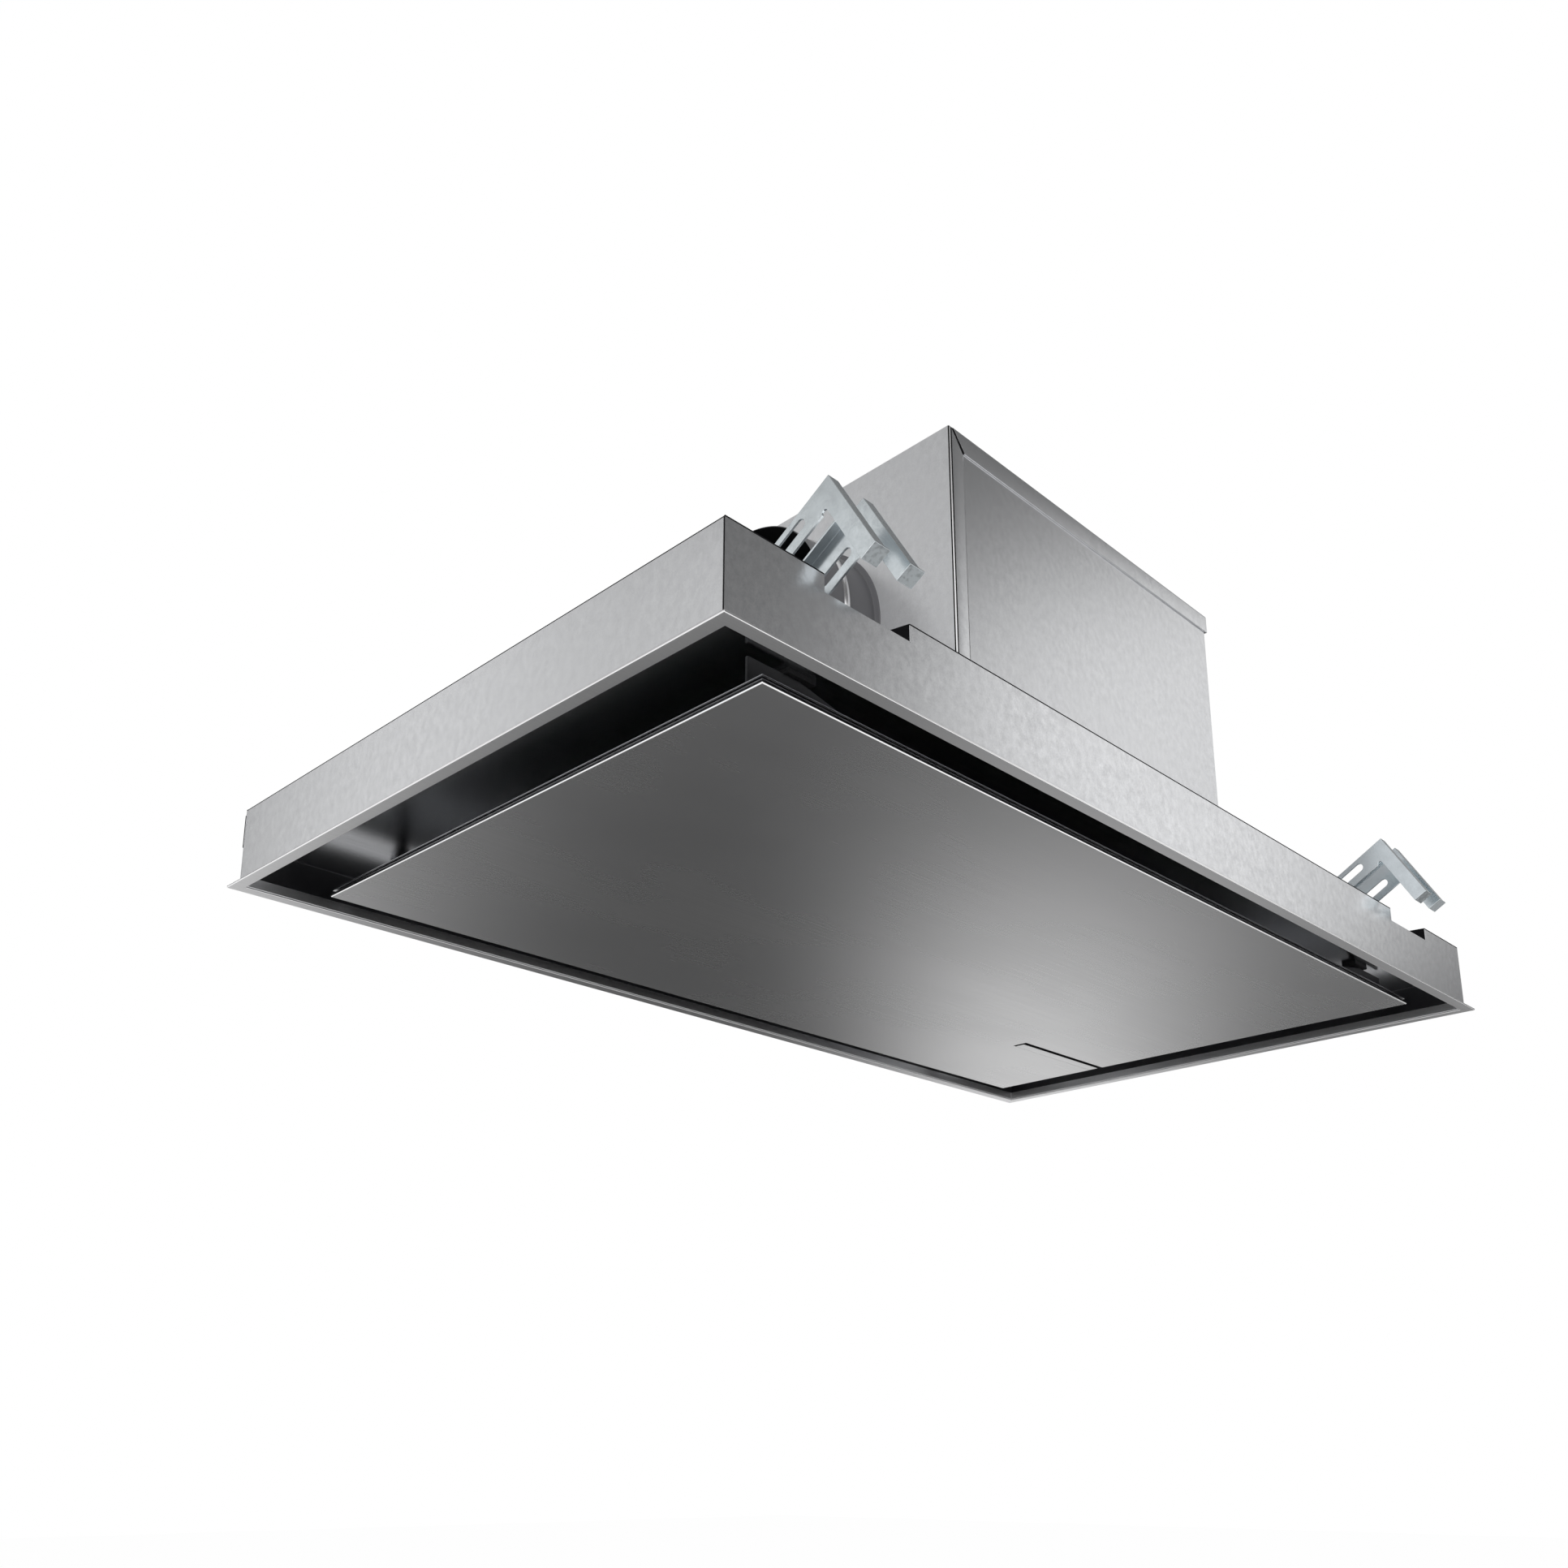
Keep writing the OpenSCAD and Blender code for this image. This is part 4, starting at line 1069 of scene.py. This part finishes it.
class HOOD_OT_panel_fittings(bpy.types.Operator):
    """Build the panel's hinges, catch posts and magnets"""

    bl_idname = "hood.panel_fittings"
    bl_label = "Panel hinges and catches"

    def execute(self, context):
        for node, name, body, slot_name, finish in (
            ("panel_hinge_arms", "hinge_arm_pair", "cover_panel", "dark_sheet", "black_paint"),
            ("panel_catch_posts", "catch_post_pair", "cover_panel", "dark_sheet", "black_paint"),
            ("hinge_lugs", "hinge_lug_set", "housing", "dark_sheet", "black_paint"),
            ("catch_magnets", "magnet_pair", "housing", "dark_plastic", "black_rubber"),
            ("filter_clips", "filter_spring_set", "housing", "spring_steel", "spring_steel"),
        ):
            shape_piece(node, name, body, finish, 0.25 * MM)
        low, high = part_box("hinge_pins")
        middle = (low + high) / 2
        hinge_x, pin_half, head_r, head_h = 344 * MM, 6 * MM, 3.4 * MM, 1.5 * MM
        pins = []
        for side in (-1, 1):
            spot = (side * hinge_x, middle.y, middle.z)
            rod = start_cylinder("pin_rod", 2 * MM, 2 * pin_half, spot, "X", 40)
            round_edges(rod, 0.2 * MM)
            pins += [rod] + pin_heads(at(spot), pin_half - head_h, head_r, head_h)
        pins = join("hinge_pin_pair", pins)
        finish_piece(pins, "housing", "spring_steel", "hinge_pins")
        return {"FINISHED"}


def filter_baffles(name, node, body):
    """Two rows of rounded channels, set half a pitch apart."""
    low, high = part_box(node)
    middle_y = (low.y + high.y) / 2
    count, lift, bar_half = 13, 1.6 * MM, 1.0 * MM
    pitch = (high.x - low.x) / count
    width, flatness = pitch * 0.72, 0.42
    channel = start_cylinder("channel", width / 2, high.y - low.y - 3 * MM, (0, 0, 0), "Y", 24)
    delete_faces(channel, lambda c: c.z < TINY)
    place(channel, Matrix.Diagonal((1, 1, flatness, 1)))
    thicken(channel, 0.5 * MM)
    smooth(channel, 50)
    parts = []
    for row, z in ((0, high.z - lift), (1, low.z + lift)):
        for index in range(count - row):
            x = low.x + pitch * (index + 0.5 + 0.5 * row)
            spot = at((x, middle_y, z), HALF_TURN * row)
            parts.append(own_copy(channel, "channel_copy", spot))
    for y in (low.y + bar_half, high.y - bar_half):
        bar = start_block(
            "end_bar", (low.x, y - bar_half, low.z), (high.x, y + bar_half, high.z)
        )
        round_edges(bar, 0.2 * MM)
        parts.append(bar)
    bpy.data.objects.remove(channel)
    baffles = join(name, parts, 45)
    finish_piece(baffles, body, "filter_aluminium", node)


class HOOD_OT_filters(bpy.types.Operator):
    """Build the two grease filters and their pull tabs"""

    bl_idname = "hood.filters"
    bl_label = "Grease filters"

    def execute(self, context):
        metal = "filter_aluminium"
        for side in ("left", "right"):
            body, node = "filter_" + side, side + "_filter"
            shape_piece(node + "_frame", node + "_rim", body, metal, 0.6 * MM, 3)
            filter_baffles(side + "_baffles", node + "_mesh", body)
            shape_piece(
                node + "_tab", side + "_pull_tab", body + "_tab", "blue_zinc",
                0.35 * MM,
            )
        return {"FINISHED"}


class HOOD_OT_clamps(bpy.types.Operator):
    """Build the four ceiling clamps with their posts, pins and pads"""

    bl_idname = "hood.clamps"
    bl_label = "Ceiling clamps"

    def execute(self, context):
        for corner in ("front_left", "front_right", "rear_left", "rear_right"):
            clamp = shape_piece(
                corner + "_clamp", corner + "_bracket", "clamp_" + corner,
                "blue_zinc", 0.45 * MM, 3,
            )
            side = -1 if corner.startswith("front") else 1
            foot = Vector((0, side * math.cos(PAD_DROP), -math.sin(PAD_DROP)))
            reach = max(foot.dot(v.co) for v in clamp.data.vertices)
            second_finish(
                clamp, "knurled_pad",
                lambda c, n: n.dot(foot) > 0.97 and foot.dot(c) > reach - 0.5 * MM,
            )
        shape_piece(
            "clamp_posts", "clamp_post_set", "housing",
            "galvanised_upright", 0.25 * MM,
        )
        low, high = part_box("clamp_pins")
        pin_z = (low.z + high.z) / 2
        pin_y = high.y - (high.z - low.z) / 2
        pin_r, head_r, head_h = 2.5 * MM, 5 * MM, 1.6 * MM
        bracket_half, clear = 14.75 * MM, 0.5 * MM
        bracket_starts, pin_half = (-365 * MM, 315 * MM), bracket_half + clear
        pins = []
        for turn in (0.0, HALF_TURN):
            for start in bracket_starts:
                middle = (start + bracket_half, -pin_y, pin_z)
                spot = Matrix.Rotation(turn, 4, "Z") @ at(middle)
                rod = start_cylinder("pin_rod", pin_r, 2 * pin_half, (0, 0, 0), "X", 40)
                pins += [place(rod, spot)] + pin_heads(spot, pin_half, head_r, head_h)
        pins = join("clamp_pin_set", pins)
        finish_piece(pins, "housing", "spring_steel", "clamp_pins")
        return {"FINISHED"}


class HOOD_OT_screws(bpy.types.Operator):
    """Build the cross-head screws"""

    bl_idname = "hood.screws"
    bl_label = "Screws"

    def execute(self, context):
        recess_long, recess_thin, recess_z, over = 2.1 * MM, 0.55 * MM, 0.7 * MM, 3 * MM
        first = dome("screw", 3.4 * MM, 1.6 * MM, 36)
        for x, y in ((recess_thin, recess_long), (recess_long, recess_thin)):
            cut(first, start_block("recess", (-x, -y, recess_z), (x, y, over)))
        smooth(first, 30)
        # How a head turns when its screw is flat across X, Y or Z
        turns = ((QUARTER, "Y"), (-QUARTER, "X"), (0.0, "Z"))
        parts = []
        for low, high in solid_islands(NODES["housing_screws"].data):
            size, base = high - low, (low + high) / 2
            flat = min(range(3), key=lambda i: size[i])
            base[flat] = low[flat]
            parts.append(own_copy(first, "screw_copy", at(base, *turns[flat])))
        bpy.data.objects.remove(first)
        screws = join("screw_set", parts, 30)
        finish_piece(screws, "housing", "blue_zinc", "housing_screws")
        return {"FINISHED"}


# Slot and finish of the nodes that keep their own shape
INNER_FINISHES = {
    "flap_rod": ("spring_steel", "spring_steel"),
    "fan_scroll": ("dark_plastic", "dark_plastic"),
    "scroll_cover": ("dark_plastic", "dark_plastic"),
    "inlet_ring": ("dark_plastic", "dark_plastic"),
    "motor_plate": ("galvanised_sheet", "galvanised_flat"),
    "motor_housing": ("dark_sheet", "black_paint"),
    "motor_bearings": ("spring_steel", "spring_steel"),
    "motor_mounts": ("rubber", "black_rubber"),
    "motor_shaft": ("spring_steel", "spring_steel"),
    "impeller": ("galvanised_sheet", "galvanised_upright"),
}


class HOOD_OT_inner_parts(bpy.types.Operator):
    """Give the parts inside the motor box their finishes"""

    bl_idname = "hood.inner_parts"
    bl_label = "Fan and motor"

    def execute(self, context):
        for node, (slot_name, finish) in INNER_FINISHES.items():
            obj = NODES[node]
            obj.data.materials.clear()
            obj.data.materials.append(bpy.data.materials[finish])
        return {"FINISHED"}


# Stage

WHITE = (1, 1, 1, 1)
CARD_FAR = 20.0  # distance of the upright cards from the hood, in metres
TOP_CARD_Z = 8
FLOOR_GAP = 0.01  # height of the low cards above the floor
FLOOR_HALF = 12
FLOOR_SHADE = 0.2  # how much of its colour the floor gives back as plain light
FLOOR_GLOW = 0.87  # how bright the floor is to the eye and in the metal
SKY_LEVEL = 0.6  # plain light on the hood, beside 1 to the eye
HOOD_MIDDLE = (0, 0, 0.1)
# Name, place, size and power of each lamp, and whether mirrors see it
LAMPS = (
    ("top_light", (0.4, -0.6, 3.2), (3.0, 2.4), 9, True),
    ("side_light", (-3.0, -1.4, 0.3), (1.6, 1.6), 45, False),
)
# The photograph's camera: place, tilt and bearing in degrees, width and focal length in pixels
CAMERA_AT = (-0.8797, -0.7123, -0.3858)
CAMERA_TILT, CAMERA_BEARING = 15.354, 44.556
PHOTO_WIDTH, PHOTO_FOCAL = 1932, 1874.4
CAMERA_SHIFT = 0.17
SENSOR = 36


def seen_ray(tree):
    """1 for what the eye, a mirror or a pane sees, 0 for plain lighting."""
    path = add(tree, "ShaderNodeLightPath").outputs
    both = math_node(tree, "MAXIMUM", path["Is Camera Ray"], path["Is Glossy Ray"])
    return math_node(tree, "MAXIMUM", both, path["Is Transmission Ray"])


def world_light():
    """A white studio, with a plain level of soft light on the hood."""
    world = bpy.data.worlds.new("studio")
    bpy.context.scene.world = world
    world.use_nodes = True
    tree = world.node_tree
    tree.nodes.clear()
    sky = add(tree, "ShaderNodeBackground")
    sky.inputs["Color"].default_value = WHITE
    feed(tree, sky.inputs["Strength"], remap(tree, seen_ray(tree), 0.0, 1.0, SKY_LEVEL, 1.0))
    feed(tree, add(tree, "ShaderNodeOutputWorld").inputs["Surface"], sky.outputs[0])


def stage_material(name):
    """A bare material that isn't sampled as a lamp, its tree and its output socket."""
    material = bpy.data.materials.new(name)
    material.use_nodes = True
    material.cycles.emission_sampling = "NONE"
    tree = material.node_tree
    tree.nodes.clear()
    return material, tree, add(tree, "ShaderNodeOutputMaterial").inputs["Surface"]


def glow(tree, shade, strength):
    node = add(tree, "ShaderNodeEmission")
    feed(tree, node.inputs["Color"], shade)
    feed(tree, node.inputs["Strength"], strength)
    return node.outputs[0]


def floor_finish(shade):
    """Pale floor: white to the eye and in the metal, and it keeps the shadow."""
    material, tree, surface = stage_material("pale_floor")
    plain = add(tree, "ShaderNodeBsdfDiffuse")
    plain.inputs["Color"].default_value = rgba(shade, FLOOR_SHADE)
    both = add(tree, "ShaderNodeAddShader")
    feed(tree, both.inputs[0], plain.outputs[0])
    strength = math_node(tree, "MULTIPLY", seen_ray(tree), FLOOR_GLOW)
    feed(tree, both.inputs[1], glow(tree, rgba(shade), strength))
    feed(tree, surface, both.outputs[0])
    return material


def soft_window(tree, across, up, centre, half, soft):
    """1 inside a soft-edged rectangle on a card, 0 outside it."""
    masks = []
    for value, middle, reach, edge in zip((across, up), centre, half, soft):
        away = math_node(tree, "ABSOLUTE", math_node(tree, "SUBTRACT", value, middle))
        mask = remap(tree, away, max(reach - edge, 0.0), reach + edge, 1.0, 0.0)
        mask.node.interpolation_type = "SMOOTHSTEP"
        masks.append(mask)
    return math_node(tree, "MULTIPLY", *masks)


def card_finish(name, base, half, soft, panes):
    """A grey card with soft edges and lighter panes in it, in its own metres."""
    material, tree, surface = stage_material(name)
    split = add(tree, "ShaderNodeSeparateXYZ")
    feed(tree, split.inputs[0], object_place(tree))
    across, up = split.outputs["X"], split.outputs["Y"]
    level = base
    for centre, reach, edge, turn, strength in panes:
        c, d = math.cos(math.radians(turn)), math.sin(math.radians(turn))
        along = weighted(tree, across, c, up, d)
        over = weighted(tree, up, c, across, -d)
        spot = (centre[0] * c + centre[1] * d, centre[1] * c - centre[0] * d)
        pane = soft_window(tree, along, over, spot, reach, edge)
        level = math_node(tree, "ADD", math_node(tree, "MULTIPLY", pane, strength), level)
    blend = add(tree, "ShaderNodeMixShader")
    for socket, value in zip(blend.inputs, (
        soft_window(tree, across, up, (0.0, 0.0), half, soft),
        add(tree, "ShaderNodeBsdfTransparent").outputs[0], glow(tree, WHITE, level),
    )):
        feed(tree, socket, value)
    feed(tree, surface, blend.outputs[0])
    return material


def facing(azimuth, elevation):
    """Where a card stands when it faces the hood from a bearing in degrees."""
    a, e = math.radians(azimuth), math.radians(elevation)
    away = Vector((math.cos(a) * math.cos(e), math.sin(a) * math.cos(e), math.sin(e)))
    turn = (-away).to_track_quat("Z", "Y").to_matrix().to_4x4()
    return Matrix.Translation(away * CARD_FAR) @ turn


def stage_card(name, matrix, base, half, soft, panes=()):
    """A grey card beside the hood, which shows in its polished faces only."""
    x, y = (h + e for h, e in zip(half, soft))
    card = start_sheet(name, (-x, -y, 0), (x, y, 0))
    card.matrix_world = matrix
    card.data.materials.append(card_finish(name, base, half, soft, panes))
    card.visible_camera = False
    card.visible_diffuse = False
    card.visible_shadow = False
    card.visible_volume_scatter = False


def cards():
    """Grey cards that shade the polished sheet, as in a photographer's studio."""
    low = FLOOR_GAP - bpy.context.scene.hood_sizes.floor_drop
    # Name, place, level, half size and edge in metres, and panes: middle, half size, edge,
    # turn in degrees and added level
    for card in (
        ("front_card", facing(-36, 26), 0.2, (14.5, 9.5), (2.5, 1.5), (
            ((-1.9, -0.5), (2.8, 3.0), (0.8, 1.0), 0.0, 0.5),
            ((-1.4, -0.5), (3.3, 3.0), (1.2, 1.0), 0.0, 0.35),
        )),
        ("left_card", facing(131, 22), 0.62, (1.7, 5.0), (0.6, 1.5)),
        ("rear_card", facing(106.5, 20), 0.03, (2.7, 5.0), (0.3, 1.5)),
        ("right_card", facing(22, 24), 0.45, (7.0, 5.0), (2.0, 1.5)),
        ("near_card", facing(166, 28), 0.1, (5.0, 4.6), (1.2, 1.2)),
        ("top_card", at((0, 0, TOP_CARD_Z), QUARTER / 2, "Z"), 0.16, (11.0, 11.0), (1.0, 1.0)),
        ("floor_card", at((3.85, 4.05, low)), 0.09, (3.75, 3.75), (0.3, 0.3), (
            ((0.98, -0.7), (3.6, 0.44), (0.8, 0.4), 37.0, 0.98),
            ((-2.98, 0.87), (2.9, 0.45), (0.7, 0.45), 80.0, 1.0),
        )),
        ("edge_card", at((3.2, -0.9, low)), 0.1, (1.2, 0.55), (0.5, 0.15)),
    ):
        stage_card(*card)


def area_light(name, spot, size, power, in_mirrors):
    data = bpy.data.lights.new(name, "AREA")
    data.shape = "RECTANGLE"
    data.size, data.size_y = size
    data.energy = power
    lamp = bpy.data.objects.new(name, data)
    bpy.context.scene.collection.objects.link(lamp)
    lamp.location = spot
    aim = Vector(HOOD_MIDDLE) - Vector(spot)
    lamp.rotation_euler = aim.to_track_quat("-Z", "Y").to_euler()
    lamp.visible_glossy = in_mirrors


class HOOD_OT_stage(bpy.types.Operator):
    """Build the floor, the light and the camera"""

    bl_idname = "hood.stage"
    bl_label = "Stage"

    def execute(self, context):
        scene = context.scene
        drop = scene.hood_sizes.floor_drop
        floor = start_sheet(
            "studio_floor", (-FLOOR_HALF, -FLOOR_HALF, -drop), (FLOOR_HALF, FLOOR_HALF, -drop)
        )
        floor.data.materials.append(floor_finish(scene.hood_colours.backdrop))
        world_light()
        cards()
        for lamp in LAMPS:
            area_light(*lamp)
        data = bpy.data.cameras.new("photo_camera")
        data.sensor_width = SENSOR
        data.lens = PHOTO_FOCAL * SENSOR / PHOTO_WIDTH
        data.shift_y = CAMERA_SHIFT
        data.clip_start, data.clip_end = 0.05, 60
        camera = bpy.data.objects.new("photo_camera", data)
        scene.collection.objects.link(camera)
        camera.location = CAMERA_AT
        camera.rotation_euler = (
            math.radians(90 + CAMERA_TILT), 0, math.radians(CAMERA_BEARING - 90)
        )
        scene.camera = camera
        scene.view_settings.view_transform = "Standard"
        return {"FINISHED"}


OPERATORS = (
    HOOD_OT_flange, HOOD_OT_walls, HOOD_OT_tray, HOOD_OT_motor_box, HOOD_OT_duct,
    HOOD_OT_control, HOOD_OT_panel, HOOD_OT_panel_fittings, HOOD_OT_filters, HOOD_OT_clamps,
    HOOD_OT_screws, HOOD_OT_inner_parts, HOOD_OT_stage,
)


class HOOD_PT_sidebar(bpy.types.Panel):
    """Lists the hood's pieces, sizes and colours"""

    bl_idname = "HOOD_PT_sidebar"
    bl_label = "Ceiling range hood"
    bl_space_type = "VIEW_3D"
    bl_region_type = "UI"
    bl_category = "Hood"

    def draw(self, context):
        for operator in OPERATORS:
            self.layout.operator(operator.bl_idname)
        for group in (context.scene.hood_sizes, context.scene.hood_colours):
            for key in group.__annotations__:
                self.layout.prop(group, key)


CLASSES = (HoodSizes, HoodColours) + OPERATORS + (HOOD_PT_sidebar,)


def register():
    for item in CLASSES:
        bpy.utils.register_class(item)
    bpy.types.Scene.hood_sizes = bpy.props.PointerProperty(type=HoodSizes)
    bpy.types.Scene.hood_colours = bpy.props.PointerProperty(type=HoodColours)


def unregister():
    del bpy.types.Scene.hood_colours
    del bpy.types.Scene.hood_sizes
    for item in reversed(CLASSES):
        bpy.utils.unregister_class(item)


def main():
    register()
    build_finishes()
    for operator in OPERATORS:
        section, name = operator.bl_idname.split(".")
        result = getattr(getattr(bpy.ops, section), name)()
        if result != {"FINISHED"}:
            raise RuntimeError(operator.bl_label + " did not finish")


if __name__ == "__main__":
    main()
